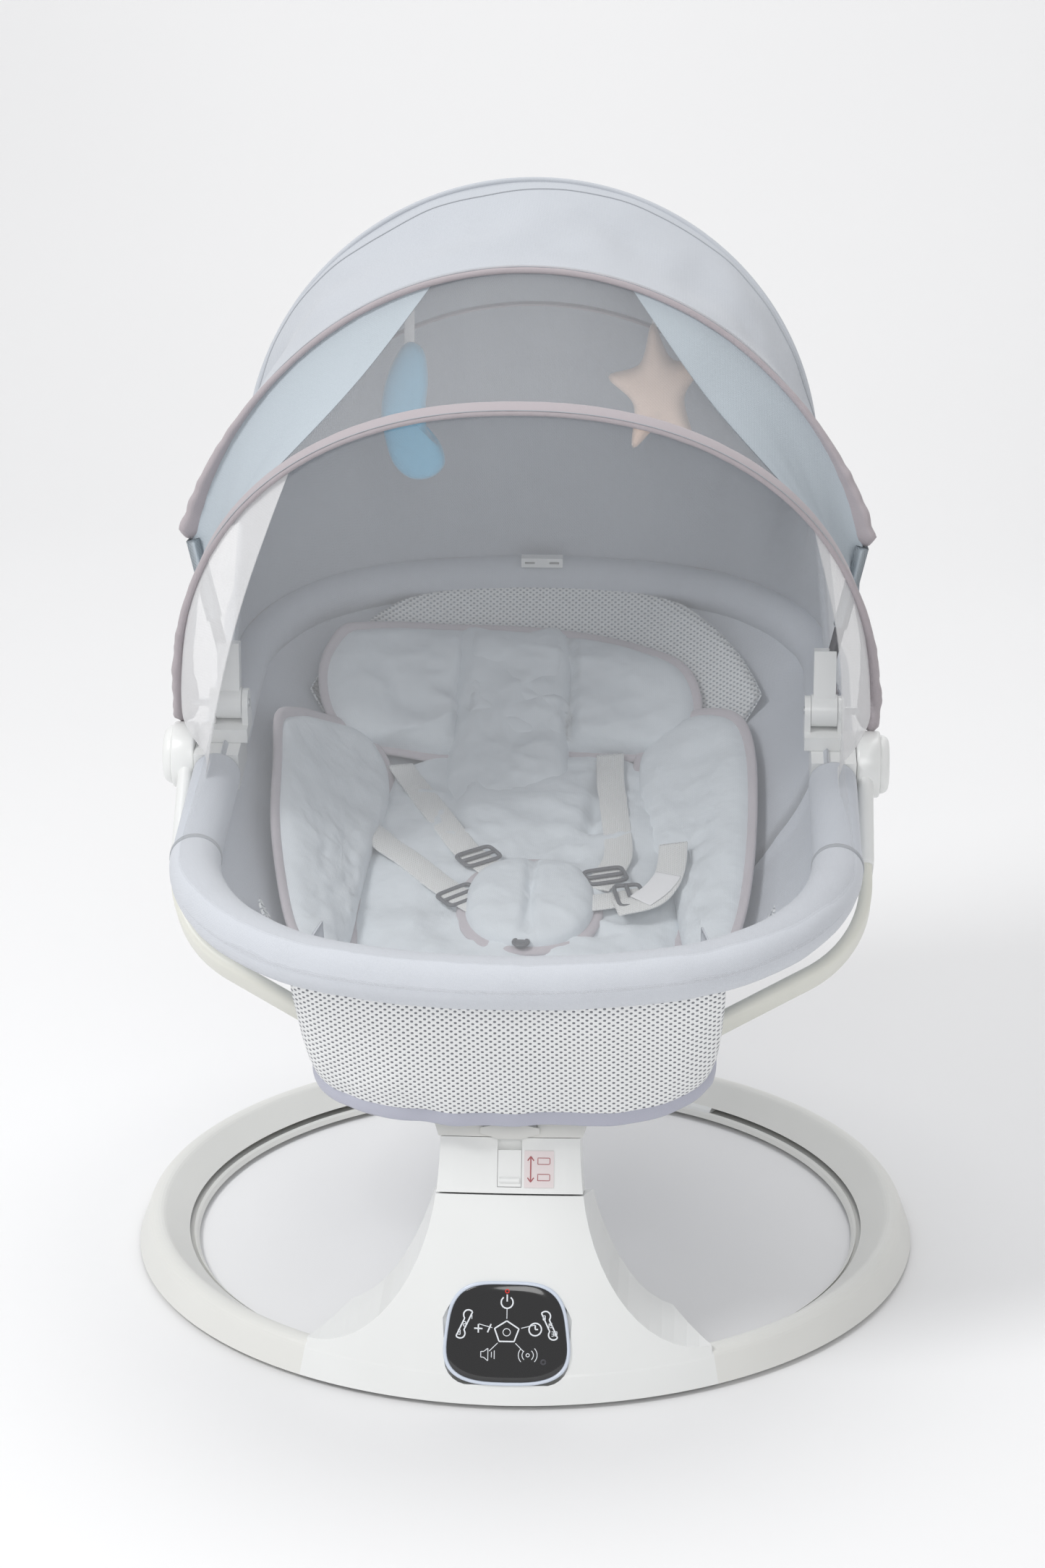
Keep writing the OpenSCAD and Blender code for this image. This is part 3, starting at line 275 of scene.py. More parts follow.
carried = {
    "white": ["base_front_shell", "tower_rear_cover", "head_front_shell", "head_rear_shell", "ring_tongues",
              "lock_slider", "hub_blocks", "rear_clip", "canopy_saddles", "canopy_arms"],
    "off_white": ["base_bottom_cover", "ring_left", "ring_right", "ring_rear", "shaft_carrier", "head_core",
                  "seat_bracket", "release_lever", "swing_bearings"],
    "rubber": ["base_feet"],
    "steel": ["base_screws", "swing_shaft", "release_springs", "drive_magnet", "rim_front_tube", "rim_rear_tube",
              "canopy_pins"],
    "board": ["panel_board"],
    "black": ["speaker", "dc_inlet"],
    "copper": ["drive_coil"],
    "label": ["label_plate"],
}
for key, names in carried.items():
    for n in names:
        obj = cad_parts[n]
        if not obj.material_slots:
            obj.data.materials.append(M[key])
        for s in obj.material_slots:
            s.material = M[key]

# ---------------------------------------------------------------- shared shapes, in millimetres

MM = 0.001


def piece(name, verts, faces, material, body=None, replaces=()):
    """A visible piece from millimetres; with no body it is left unattached."""
    obj = new_object(name, np.asarray(verts, float) * MM, faces)
    obj.data.materials.append(M[material])
    if body:
        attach(obj, body)
    if replaces:
        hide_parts(*replaces)
    return obj


def unit(v):
    v = np.asarray(v, float)
    return v / np.maximum(np.linalg.norm(v, axis=-1, keepdims=True), 1e-9)


def mix(a, b, t):
    return a + (b - a) * t


def oval(a, b, n=20):
    t = np.arange(n) * 2 * math.pi / n
    return np.stack([a * np.cos(t), b * np.sin(t)], 1)


def flat_bar(w, t, n=6):
    """A flat strip's section with rounded edges: w wide along the first axis, t thick along the second."""
    r = t / 2
    right = [(w / 2 - r + r * math.cos(a), r * math.sin(a)) for a in np.linspace(-math.pi / 2, math.pi / 2, n)]
    left = [(-x, -y) for x, y in right]
    return np.array(right + left)


def sweep(path, section, up, closed=False, widths=None):
    """A tube along path. The section's first axis lies across (tangent x up) and its second along up."""
    path = np.asarray(path, float)
    n = len(path)
    if closed:
        tangent = unit(np.roll(path, -1, 0) - np.roll(path, 1, 0))
    else:
        tangent = unit(np.gradient(path, axis=0))
    up = np.broadcast_to(np.asarray(up, float), path.shape)
    lifted = unit(up - (up * tangent).sum(1, keepdims=True) * tangent)
    across = np.cross(tangent, lifted)
    scale = np.ones(n) if widths is None else np.asarray(widths, float)
    k = len(section)
    verts = (path[:, None, :] + across[:, None, :] * section[None, :, :1] * scale[:, None, None]
             + lifted[:, None, :] * section[None, :, 1:] * scale[:, None, None])
    faces = []
    for i in range(n if closed else n - 1):
        a, b = i * k, ((i + 1) % n) * k
        for j in range(k):
            faces.append((a + j, b + j, b + (j + 1) % k, a + (j + 1) % k))
    if not closed:
        faces.append(tuple(range(k)))
        faces.append(tuple(range(n * k - 1, (n - 1) * k - 1, -1)))
    return verts.reshape(-1, 3), faces


def join(*parts):
    verts, faces = [], []
    for v, f in parts:
        base = sum(len(x) for x in verts)
        verts.append(np.asarray(v, float))
        faces += [tuple(base + i for i in q) for q in f]
    return np.vstack(verts), faces


def at_shares(path, shares):
    """Points of a path at shares of its length."""
    s = np.concatenate([[0], np.cumsum(np.linalg.norm(np.diff(path, axis=0), axis=1))])
    return np.stack([np.interp(np.asarray(shares) * s[-1], s, path[:, i]) for i in range(3)], 1)


def columns(n, joints, places):
    """n shares from 0 to 1 whose joints, shares of the count, fall at the given places."""
    return np.interp(np.linspace(0, 1, n), [0] + joints + [1], [0] + places + [1])


def spline(a, b, c, d, steps):
    """A Catmull-Rom span from b to c, without its last point."""
    t = np.linspace(0, 1, steps, endpoint=False)[:, None]
    return 0.5 * (2 * b + (c - a) * t + (2 * a - 5 * b + 4 * c - d) * t ** 2 + (3 * b - a - 3 * c + d) * t ** 3)


def smooth_path(points, n):
    """A curve through the points, resampled to n even steps."""
    p = np.asarray(points, float)
    p = np.vstack([2 * p[0] - p[1], p, 2 * p[-1] - p[-2]])
    spans = [spline(*p[i - 1:i + 3], 24) for i in range(1, len(p) - 2)]
    return evenly(np.vstack(spans + [p[-2:-1]]), n)


def closed_curve(points, n):
    """A closed curve through the points, from the second one on, as n even points."""
    p = np.array(points + points[:3], float)
    spans = [spline(*p[i - 1:i + 3], 12) for i in range(1, len(points) + 1)]
    return evenly(np.vstack(spans + [spans[0][:1]]), n + 1)[:-1]


def evenly(path, n):
    step = np.linalg.norm(np.diff(path, axis=0), axis=1)
    s = np.concatenate([[0], np.cumsum(step)])
    t = np.linspace(0, s[-1], n)
    return np.stack([np.interp(t, s, path[:, i]) for i in range(path.shape[1])], 1)


def surface(points, thickness, outward):
    """A thin closed sheet from a grid of points (rows, columns, 3); outward is a point or a grid of directions."""
    p = np.asarray(points, float)
    rows, cols = p.shape[:2]
    du = np.gradient(p, axis=1)
    dv = np.gradient(p, axis=0)
    normal = unit(np.cross(du, dv))
    side = np.sign((normal * outward).sum(-1).mean())
    inner = p - normal * side * thickness
    verts = np.concatenate([p.reshape(-1, 3), inner.reshape(-1, 3)])
    k = rows * cols
    faces = []
    for i in range(rows - 1):
        for j in range(cols - 1):
            q = (i * cols + j, i * cols + j + 1, (i + 1) * cols + j + 1, (i + 1) * cols + j)
            if side < 0:
                q = q[::-1]
            faces.append(q)
            faces.append(tuple(x + k for x in q[::-1]))
    edge = ([(i, 0) for i in range(rows)] + [(rows - 1, j) for j in range(1, cols)]
            + [(i, cols - 1) for i in range(rows - 2, -1, -1)] + [(0, j) for j in range(cols - 2, 0, -1)])
    ids = [i * cols + j for i, j in edge]
    for a, b in zip(ids, ids[1:] + ids[:1]):
        faces.append((a, b, b + k, a + k) if side < 0 else (b, a, a + k, b + k))
    return verts, faces


def cloth(name, grid, thickness, outward, material, replaces=()):
    """A sewn sheet on the seat, from a grid of points in the world."""
    obj = piece(name, *surface(grid, thickness, outward), material, "seat", replaces)


# ---------------------------------------------------------------- the seat's frame

HUB_Z = 386.0
TILT = math.radians(10.6)
COVER_R = 17.5
RIM_W, RIM_L = 229.0, 317.0


def seat(p):
    """Points of the seat's own frame, in the world."""
    p = np.asarray(p, float)
    out = p.copy()
    out[..., 1] = p[..., 1] * math.cos(TILT) - p[..., 2] * math.sin(TILT)
    out[..., 2] = HUB_Z + p[..., 1] * math.sin(TILT) + p[..., 2] * math.cos(TILT)
    return out


def seat_dir(d):
    return seat(d) - [0, 0, HUB_Z]


UP = seat_dir([0, 0, 1.0])
PIVOT = seat([0, 13, 38])


def bow(x, h, lean, off=0.0):
    """A point in a bow's plane: x across, h up from the pivot, off behind the plane."""
    a = math.radians(lean)
    return np.stack(np.broadcast_arrays(
        np.asarray(x, float), PIVOT[1] + h * math.sin(a) + off * math.cos(a),
        PIVOT[2] + h * math.cos(a) - off * math.sin(a)), -1)


def rim_quarter(steps=90):
    """The rim's centre line in the seat's plane from (229, 0) to the rear middle."""
    cc, end_c = RIM_W - 160, RIM_L - 430
    link = math.atan2(4, 270)
    turn = link + math.acos(cc * math.cos(link) / 270)
    straight = end_c + 270 * math.sin(turn) - 4 * math.cos(turn)
    pts = [(RIM_W, y) for y in np.linspace(0, straight, 20)]
    pts += [(cc + 160 * math.cos(a), straight + 160 * math.sin(a)) for a in np.linspace(0, turn, 30)[1:]]
    pts += [(430 * math.cos(a), end_c + 430 * math.sin(a)) for a in np.linspace(turn, math.pi / 2, 16)[1:]]
    return evenly(np.array(pts), steps), straight


QUARTER, STRAIGHT = rim_quarter()
HALF = np.vstack([QUARTER, (QUARTER * [-1, 1])[::-1][1:]])


def rim_half(start, n, side=1):
    """Points along the rear (side 1) or front (-1) half of the rim, from the right at y = start to the left."""
    keep = HALF[HALF[:, 1] >= start]
    first, last = np.array([[RIM_W, start]]), np.array([[-RIM_W, start]])
    path = evenly(np.vstack([first, keep, last]) if start > 0 else HALF, n)
    return path * [1, side]


# ---------------------------------------------------------------- the bowl's surface


def bowl_level(t):
    return (mix(210, 112, t ** 1.4), mix(298, 155, t ** 1.25), mix(0, -45, t), -6 - 107 * (1 - (1 - t) ** 1.7))


def bowl_depth(x, y):
    """The level of the bowl's inner face over points x, y of the seat's plane."""
    x, y = np.asarray(x, float), np.asarray(y, float)
    lo, hi = np.zeros(x.shape), np.ones(x.shape)
    for _ in range(26):
        t = (lo + hi) / 2
        a, b, c, _z = bowl_level(t)
        inside = np.abs(x / a) ** 2.8 + np.abs((y - c) / b) ** 2.8 <= 1
        lo, hi = np.where(inside, t, lo), np.where(inside, hi, t)
    return bowl_level(lo)[3]


def on_bowl(x, y, lift):
    """Points lifted off the bowl's inner face along its normal, in the seat's frame."""
    x, y = np.asarray(x, float), np.asarray(y, float)
    z = bowl_depth(x, y)
    e = 6.0
    gx = (bowl_depth(x + e, y) - bowl_depth(x - e, y)) / (2 * e)
    gy = (bowl_depth(x, y + e) - bowl_depth(x, y - e)) / (2 * e)
    n = unit(np.stack([-gx, -gy, np.ones_like(z)], -1))
    return np.stack([x, y, z], -1) + n * np.asarray(lift, float)[..., None], n


def superellipse(a, b, power, theta):
    c, s = np.cos(theta), np.sin(theta)
    return a * np.sign(c) * np.abs(c) ** (2 / power), b * np.sign(s) * np.abs(s) ** (2 / power)


def wave(p, scale, seed):
    """Smooth noise from -1 to 1 at points in millimetres."""
    flat = np.asarray(p, float).reshape(-1, 3) / scale
    return np.array([noise.noise(Vector(q) + Vector((seed * 7.3, seed * 3.1, seed))) for q in flat]).reshape(p.shape[:-1])


def rounded(a, b, power, n):
    """n points of a superellipse."""
    return np.stack(superellipse(a, b, power, np.arange(n) * 2 * math.pi / n), 1)


def pad(name, outline, centre, thick, low, rings, crease, seed, grooves=(), replaces=(), piping_r=0,
        fade=()):
    """A stuffed pad that lies on the bowl. grooves are lines (x0, y0, x1, y1, depth, width) from its centre."""
    n = len(outline)
    ex, ey = (outline - centre).T
    r = np.linspace(0, 1, rings) ** 0.8
    px, py = r[:, None] * ex[None, :], r[:, None] * ey[None, :]
    x, y = centre[0] + px, centre[1] + py
    dome = (1 - r ** 5) ** 0.5
    top = np.broadcast_to(dome[:, None], px.shape).copy()
    for x0, y0, x1, y1, depth, width in grooves:
        d = np.array([x1 - x0, y1 - y0], float)
        length = np.linalg.norm(d)
        d /= length
        along = np.clip((px - x0) * d[0] + (py - y0) * d[1], 0, length)
        dist = np.hypot(px - x0 - along * d[0], py - y0 - along * d[1])
        top *= 1 - depth * np.exp(-(dist / width) ** 2)
    if fade:
        top *= np.clip((py - fade[0]) / fade[1], 0, 1) ** 0.7
    base, _n = on_bowl(x, y, np.full(x.shape, low))
    folds = 1 - 2 * np.abs(wave(base * [0.55, 1, 1] + [0, 0, 40 * seed], 30, seed))
    folds += 0.7 * wave(base * [1, 0.45, 1], 24, seed) + 0.4 * wave(base, 10, seed + 3)
    top += crease * folds * dome[:, None]
    upper, _n = on_bowl(x, y, low + 1.2 + thick * np.clip(top, 0, None))
    k = rings * n
    verts = np.concatenate([seat(upper).reshape(-1, 3), seat(base).reshape(-1, 3)])
    faces = []
    for i in range(rings - 1):
        for j in range(n):
            q = (i * n + j, (i + 1) * n + j, (i + 1) * n + (j + 1) % n, i * n + (j + 1) % n)
            if i == 0:
                q = (0, q[1], q[2])
            faces.append(q)
            faces.append(tuple(v + k for v in q[::-1]))
    rim = (rings - 1) * n
    for j in range(n):
        faces.append((rim + j, rim + j + k, rim + (j + 1) % n + k, rim + (j + 1) % n))
    obj = piece(name, verts, faces, "pad", "seat", replaces)
    clean(obj)
    if piping_r:
        line, nn = on_bowl(x[-1], y[-1], np.full(n, low + 0.9))
        cord = sweep(seat(line), oval(piping_r, piping_r * 0.55, 12), seat_dir(nn), closed=True)
        piece(name + "_piping", *cord, "trim", "seat")


def clean(obj):
    """Merges doubled points and drops loose ones."""
    bm = bmesh.new()
    bm.from_mesh(obj.data)
    bmesh.ops.remove_doubles(bm, verts=bm.verts, dist=1e-5)
    loose = [v for v in bm.verts if not v.link_faces]
    bmesh.ops.delete(bm, geom=loose, context="VERTS")
    bmesh.ops.recalc_face_normals(bm, faces=bm.faces)
    bm.to_mesh(obj.data)
    bm.free()
    for p in obj.data.polygons:
        p.use_smooth = True


# ---------------------------------------------------------------- floor and backdrop

profile = [(-6.0, 0.0), (-3.0, 0.0), (0.0, 0.0), (2.2, 0.0)]
profile += [(2.2 + 1.3 * math.sin(a), 1.3 - 1.3 * math.cos(a)) for a in np.linspace(0, math.pi / 2, 16)[1:]]
profile += [(3.5, 5.5)]
xs = np.linspace(-6, 6, 9)
verts = [(x, y, z) for y, z in profile for x in xs]
faces = [(i * 9 + j, i * 9 + j + 1, (i + 1) * 9 + j + 1, (i + 1) * 9 + j)
         for i in range(len(profile) - 1) for j in range(8)]
floor = new_object("floor", verts, faces)
m, tree, shader = base_material("floor_paper", (0.90, 0.90, 0.905), 0.75)
coords = node(tree, "ShaderNodeTexCoord")
paper = texture(tree, coords, "ShaderNodeTexNoise", in_Scale=1.2, in_Detail=1.0)
tree.links.new(two_tone(tree, paper, (0.895, 0.895, 0.90), (0.91, 0.91, 0.915)), shader.inputs["Base Color"])
floor.data.materials.append(m)

# ---------------------------------------------------------------- touch panel on the tower's curved face

LEAN = math.radians(20.5)
SEAM_Z = 143.0
FACE_R = 300 - (SEAM_Z - 4) * math.tan(LEAN)
PANEL_V = 97.7


def on_face(u, v, lift):
    """A point of the tower's face: u across it, v down from the seam, lift out of it."""
    u, v, lift = np.broadcast_arrays(np.asarray(u, float), np.asarray(v, float), np.asarray(lift, float))
    r = FACE_R + v * math.sin(LEAN)
    a = u / r
    out = np.stack([np.sin(a) * math.cos(LEAN), -np.cos(a) * math.cos(LEAN), np.full(u.shape, math.sin(LEAN))], -1)
    at = np.stack([r * np.sin(a), -r * np.cos(a), SEAM_Z - v * math.cos(LEAN)], -1)
    return at + out * lift[..., None]


def panel_shape(loops, material, name, replaces):
    """Loops are (width, height, lift), from the outer edge inward; the last one is closed with a fan."""
    verts, n = [], 72
    for w, h, lift in loops:
        x, y = rounded(w / 2, h / 2, 3.3, n).T
        verts.append(on_face(x * (1 - 0.10 * y / (h / 2)), PANEL_V - y, lift))
    verts = np.vstack(verts + [on_face([0.0], [PANEL_V], [loops[-1][2]])])
    faces = [(i * n + j, i * n + (j + 1) % n, (i + 1) * n + (j + 1) % n, (i + 1) * n + j)
             for i in range(len(loops) - 1) for j in range(n)]
    last = (len(loops) - 1) * n
    faces += [(last + j, last + (j + 1) % n, len(verts) - 1) for j in range(n)]
    piece(name, verts, faces, material, "base", replaces)


panel_shape([(88, 73.5, -1.4), (88, 73.5, 0.9), (87.4, 72.9, 1.5), (86.2, 71.7, 1.8), (84.4, 69.9, 1.8),
             (83.4, 68.9, 1.3), (83.2, 68.7, 0.2), (82, 67, 0.0)], "bezel", "panel_bezel_frame", ["panel_bezel"])
panel_shape([(83.2, 68.7, 0.3), (83.0, 68.5, 1.1), (82.2, 67.7, 1.35), (70, 58, 1.4), (50, 40, 1.4), (25, 20, 1.4)],
            "glass", "panel_touch_glass", ["panel_glass"])


def ink_lines(lines, width, closed=()):
    """Flat printed strokes on the glass: each line is a list of (u, v) from the panel's middle, v up."""
    parts = []
    for i, line in enumerate(lines):
        pts = np.array(line, float)
        if i in closed:
            pts = np.vstack([pts, pts[:1]])
        pts = evenly(pts, max(2, int(np.linalg.norm(np.diff(pts, axis=0), axis=1).sum() / 0.8) + 2))
        path = on_face(pts[:, 0], PANEL_V - pts[:, 1], 1.48)
        out = on_face(pts[:, 0], PANEL_V - pts[:, 1], 2.48) - path
        parts.append(sweep(path, flat_bar(width, 0.12, 3), out))
    return join(*parts)


def arc(cx, cy, r, a0, a1, n=20):
    return [(cx + r * math.cos(math.radians(a)), cy + r * math.sin(math.radians(a))) for a in np.linspace(a0, a1, n)]


def digits(text, cx, cy, h):
    """Plain numerals drawn with straight strokes."""
    seg = {"a": ((0, 2), (1, 2)), "b": ((1, 2), (1, 1)), "c": ((1, 1), (1, 0)), "d": ((1, 0), (0, 0)),
           "e": ((0, 0), (0, 1)), "f": ((0, 1), (0, 2)), "g": ((0, 1), (1, 1))}
    shapes = {"0": "abcdef", "1": "bc", "2": "abged", "3": "abgcd", "5": "afgcd", "8": "abcdefg"}
    lines, w = [], h * 0.5
    start = cx - (len(text) * w * 1.5 - w * 0.5) / 2
    for i, ch in enumerate(text):
        for s in shapes[ch]:
            (x0, y0), (x1, y1) = seg[s]
            ox = start + i * w * 1.5
            lines.append([(ox + x0 * w, cy - h / 2 + y0 * h / 2), (ox + x1 * w, cy - h / 2 + y1 * h / 2)])
    return lines


pent = [(9 * math.cos(math.radians(90 + 72 * k)), 1 + 8 * math.sin(math.radians(90 + 72 * k))) for k in range(5)]
spokes = [[(1.18 * p[0], 1 + 1.18 * (p[1] - 1)), (2.3 * p[0], 1 + 2.1 * (p[1] - 1))] for p in pent]
left_slot = arc(-27, 12, 3.6, 40, 220) + arc(-33, -1, 3.6, 220, 400)
right_slot = [(-x, y) for x, y in left_slot]
thick = [pent, left_slot, right_slot, arc(0, 22, 4.2, 125, 415), [(0, 22.5), (0, 27.5)],
         [(-23, 3), (-17, 3)], [(-20, 0), (-20, 6)], [(-13.5, 0.5), (-11, 6.5)], [(-10.5, 3), (-10.5, 3)],
         arc(20, 3, 4.4, 0, 360), [(20, 3), (20, 6)], [(20, 3), (22, 3)]]
thin = spokes + [
    arc(0, 1, 2.6, 0, 360), [(-18, -17), (-18, -13), (-16, -13), (-13, -10.5), (-13, -19.5), (-16, -17), (-18, -17)],
    [(-10.5, -13), (-10.5, -17)], [(-8.5, -12), (-8.5, -18)], arc(15, -15, 1.2, 0, 360), arc(15, -15, 4, -50, 50),
    arc(15, -15, 4, 130, 230), arc(15, -15, 6.6, -45, 45), arc(15, -15, 6.6, 135, 225)]
thin += digits("1", -25.5, 11, 3.2) + digits("2", -29.8, 5.6, 3.2) + digits("3", -33.6, -0.4, 3.2)
thin += digits("8", 26.2, 11, 3.0) + digits("15", 30, 5.6, 3.0) + digits("30", 33.4, -0.4, 3.0)
piece("panel_icons", *join(ink_lines(thick, 1.0, closed=(0, 1, 2)), ink_lines(thin, 0.55)), "icon", "base")
piece("panel_lamp", *ink_lines([arc(0, 29.8, 1.3, 0, 360)], 0.7), "lamp", "base")
piece("panel_receiver", *ink_lines([arc(26, -20, 1.6, 0, 360)], 1.2), "strip", "base")

# ---------------------------------------------------------------- the label's arrows

HEAD_Y, HEAD_Z = -FACE_R + 36 * math.cos(LEAN), SEAM_Z - 36 * math.sin(LEAN)


def head(p):
    """Points of the swinging head's own frame, in the world."""
    p = np.asarray(p, float)
    out = p.copy()
    out[..., 1] = HEAD_Y + p[..., 1] * math.cos(LEAN) + p[..., 2] * math.sin(LEAN)
    out[..., 2] = HEAD_Z - p[..., 1] * math.sin(LEAN) + p[..., 2] * math.cos(LEAN)
    return out


def label_frame(z0, z1):
    return [(20, z0), (28.5, z0), (28.5, z1), (20, z1), (20, z0)]


label = []
for line, width in (([(15, 9), (15, 27)], 0.9), ([(12.8, 12), (15, 9), (17.2, 12)], 0.8),
                    ([(12.8, 24), (15, 27), (17.2, 24)], 0.8), (label_frame(10, 14.5), 0.5),
                    (label_frame(21.5, 26), 0.5)):
    x, z = evenly(np.array(line, float), 24).T
    path = head(np.stack([x, x ** 2 / 496 - 36.72, z], 1))
    label.append(sweep(path, flat_bar(width, 0.12, 3), head([0, -1, 0]) - head([0, 0, 0])))
piece("label_arrows", *join(*label), "label_ink", "head")

# ---------------------------------------------------------------- arms, sleeves, hubs and knobs


def arm_path(w0, w1, n):
    """The right arm's centre line from w0 to w1 along its length, in the world."""
    pts = [(253.2, w) for w in np.linspace(0, 102, 30)]
    pts += [(253.2 - 84 + 84 * math.cos(a), 102 + 84 * math.sin(a)) for a in np.linspace(0, math.pi / 3, 30)[1:]]
    ex, ew = pts[-1]
    pts += [(ex - 0.8660 * s, ew + 0.5 * s) for s in np.linspace(0, 176, 40)[1:]]
    pts = np.array(pts)
    s = np.concatenate([[0], np.cumsum(np.linalg.norm(np.diff(pts, axis=0), axis=1))])
    t = np.linspace(w0, w1, n)
    x, w = np.interp(t, s, pts[:, 0]), np.interp(t, s, pts[:, 1])
    return np.stack([x, -w * math.sin(ARM_LEAN), HUB_Z - w * math.cos(ARM_LEAN)], 1)


ARM_LEAN = math.radians(44.5)
ARM_SIDE = np.array([0, -math.cos(ARM_LEAN), math.sin(ARM_LEAN)])


def revolve_x(profile, x_sign, y, z, n=48):
    """A body turned about the X axis: profile is (distance along X, radius)."""
    verts, faces = [], []
    for x, r in profile:
        for k in range(n):
            a = 2 * math.pi * k / n
            verts.append((x_sign * x, y + r * math.cos(a), z + r * math.sin(a)))
    for i in range(len(profile) - 1):
        for k in range(n):
            q = (i * n + k, i * n + (k + 1) % n, (i + 1) * n + (k + 1) % n, (i + 1) * n + k)
            faces.append(q if x_sign > 0 else q[::-1])
    return np.array(verts), faces


def rounded_end(x0, x1, r, edge, n=7):
    """Half of a turned outline with a rounded outer edge, closed on the axis."""
    out = [(x0, r)]
    out += [(x1 - edge + edge * math.sin(a), r - edge + edge * math.cos(a)) for a in np.linspace(0, math.pi / 2, n)]
    out += [(x1 + 0.25 * (1 - s), (r - edge) * s) for s in (0.75, 0.5, 0.25, 0.001)]
    return out


arm_section = flat_bar(30, 9.4, 8)[:, ::-1]
sleeve_section = flat_bar(33.4, 12.4, 8)[:, ::-1]
sleeve_ends = np.ones(40)
sleeve_ends[-3:] = 0.993, 0.975, 0.93
housing = [(246.9, 8.0), (246.9, 23.8), (247.8, 24.8), (249, 25), (262.6, 25), (263.9, 24.5), (264.5, 23.4),
           (264.3, 22.6), (258, 22.3), (255.4, 22.3), (255.4, 8.0)]
cap = [(262.2, 8)] + rounded_end(262.2, 271.4, 22, 6)
for side, sx in (("left", -1), ("right", 1)):
    mirror = np.array([sx, 1, 1])
    arm = sweep(arm_path(14, 300, 120) * mirror, arm_section, ARM_SIDE)
    piece(f"arm_{side}_moulding", *arm, "cream", "head", [f"arm_{side}"])
    sleeve = sweep(arm_path(8, 88, 40) * mirror, sleeve_section, ARM_SIDE, widths=sleeve_ends)
    hub = join(sleeve, revolve_x(housing, sx, 0, HUB_Z))
    piece(f"hub_{side}_housing", *hub, "white", "head", [f"hub_{side}"])
    piece(f"recline_cap_{side}", *revolve_x(cap, sx, 0, HUB_Z), "white", f"button_{side}", [f"recline_button_{side}"])

# ---------------------------------------------------------------- rim covers


def rim_tube(name, y0, n, side, material, replaces, radius, seed):
    """A padded cover over half the rim, slightly uneven like gathered cloth."""
    flat = rim_half(y0, n, side)
    path = seat(np.concatenate([flat, np.zeros((n, 1))], 1))
    k = 30
    v, f = sweep(path, oval(radius, radius, k), UP)
    grid = v.reshape(n, k, 3)
    centre = path[:, None, :]
    ridges = wave(grid, 34, seed) * 0.9 + wave(grid, 11, seed + 2) * 0.35
    edge = np.minimum(np.arange(n), np.arange(n)[::-1]) / n
    grid = centre + (grid - centre) * (1 + ridges[..., None] * 0.035 * np.clip(edge * 30, 0.25, 1)[:, None, None])
    piece(name, grid.reshape(-1, 3), f, material, "seat", replaces)


rim_tube("rim_padding", 30, 260, 1, "blue", ["rim_cover"], 17.8, 4)
side_path = []
for sx in (1, -1):
    n = 60
    y = np.linspace(-30, -(STRAIGHT + 8), n)
    path = seat(np.stack([np.full(n, sx * RIM_W), y, np.zeros(n)], 1))
    side_path.append(sweep(path, oval(17.8, 17.8, 30), UP))
piece("rim_padding_sides", *join(*side_path), "blue", "seat")
rim_tube("rim_front_cover", STRAIGHT + 4, 200, -1, "sleeve", ["front_sleeve"], 18.4, 9)
seam_line = rim_half(STRAIGHT + 5, 300, -1)
seam_ends = [seat(np.concatenate([ends, np.zeros((3, 1))], 1)) for ends in (seam_line[:3], seam_line[-3:])]
piece("rim_front_seams", *join(*[sweep(path, oval(18.9, 18.9, 30), UP) for path in seam_ends]), "thread", "seat")

# ---------------------------------------------------------------- hammock

n, rows = 160, 30
theta = np.arange(n + 1) * 2 * math.pi / n
RIM_RING = np.vstack([HALF[:-1], (HALF * [1, -1])[::-1][:-1]])
RIM_RING = np.vstack([RIM_RING, RIM_RING[:1]])


def rim_ring(directions, inset):
    """Points on the rim's outline in the given directions, moved in by inset."""
    ring_angle = np.unwrap(np.arctan2(RIM_RING[:, 1], RIM_RING[:, 0]))
    want = np.unwrap(np.arctan2(directions[:, 1], directions[:, 0]))
    want = (want - ring_angle[0]) % (2 * math.pi) + ring_angle[0]
    p = np.stack([np.interp(want, ring_angle, RIM_RING[:, 0]), np.interp(want, ring_angle, RIM_RING[:, 1])], 1)
    return p - unit(p) * inset


grid = []
for i in range(rows):
    a, b, c, z = bowl_level(i / (rows - 1))
    ex, ey = superellipse(a, b, 2.8, theta)
    grid.append(np.stack([ex, ey + c, np.full(n + 1, z)], 1))
for i in range(9):
    edge = rim_ring(grid[i][:, :2], 9 + i * 1.6)
    k = 1 - i / 9
    grid[i][:, :2] = mix(grid[i][:, :2], edge, k ** 1.2)
first = []
for inset, z in ((3, 15.5), (6, 12.5), (8, 6)):
    edge = rim_ring(grid[0][:, :2], inset)
    first.append(np.concatenate([edge, np.full((n + 1, 1), z)], 1))
grid = first + grid
for k in (0.8, 0.55, 0.3, 0.05):
    ex, ey = superellipse(112 * k, 155 * k, 2.8, theta)
    grid.append(np.stack([ex, ey - 45, np.full(n + 1, -113.0)], 1))
grid = np.array(grid)
folds = wave(grid * [1, 1, 0.35], 55, 21) * 2.2
grid[2:, :, 2] += folds[2:] * np.linspace(0.1, 1, len(grid) - 2)[:, None] * 0.5
cloth("hammock_bowl", seat(grid), 1.8, seat(grid) - [0, 0, 500.0], "blue", ["hammock"])

# ---------------------------------------------------------------- mesh front


def front_wall(n, rows_yz):
    """The pouch's wall: rows of (y, z, half width, depth), each bent back round its ends like a basket."""
    out = []
    phi = np.linspace(-math.pi / 2, math.pi / 2, n)
    for y, z, hw, depth in rows_yz:
        x = hw * np.sign(phi) * np.abs(np.sin(phi)) ** 0.78
        out.append(np.stack([x, y + depth * (1 - np.cos(phi) ** 0.8), np.full(n, z)], 1))
    return np.array(out)


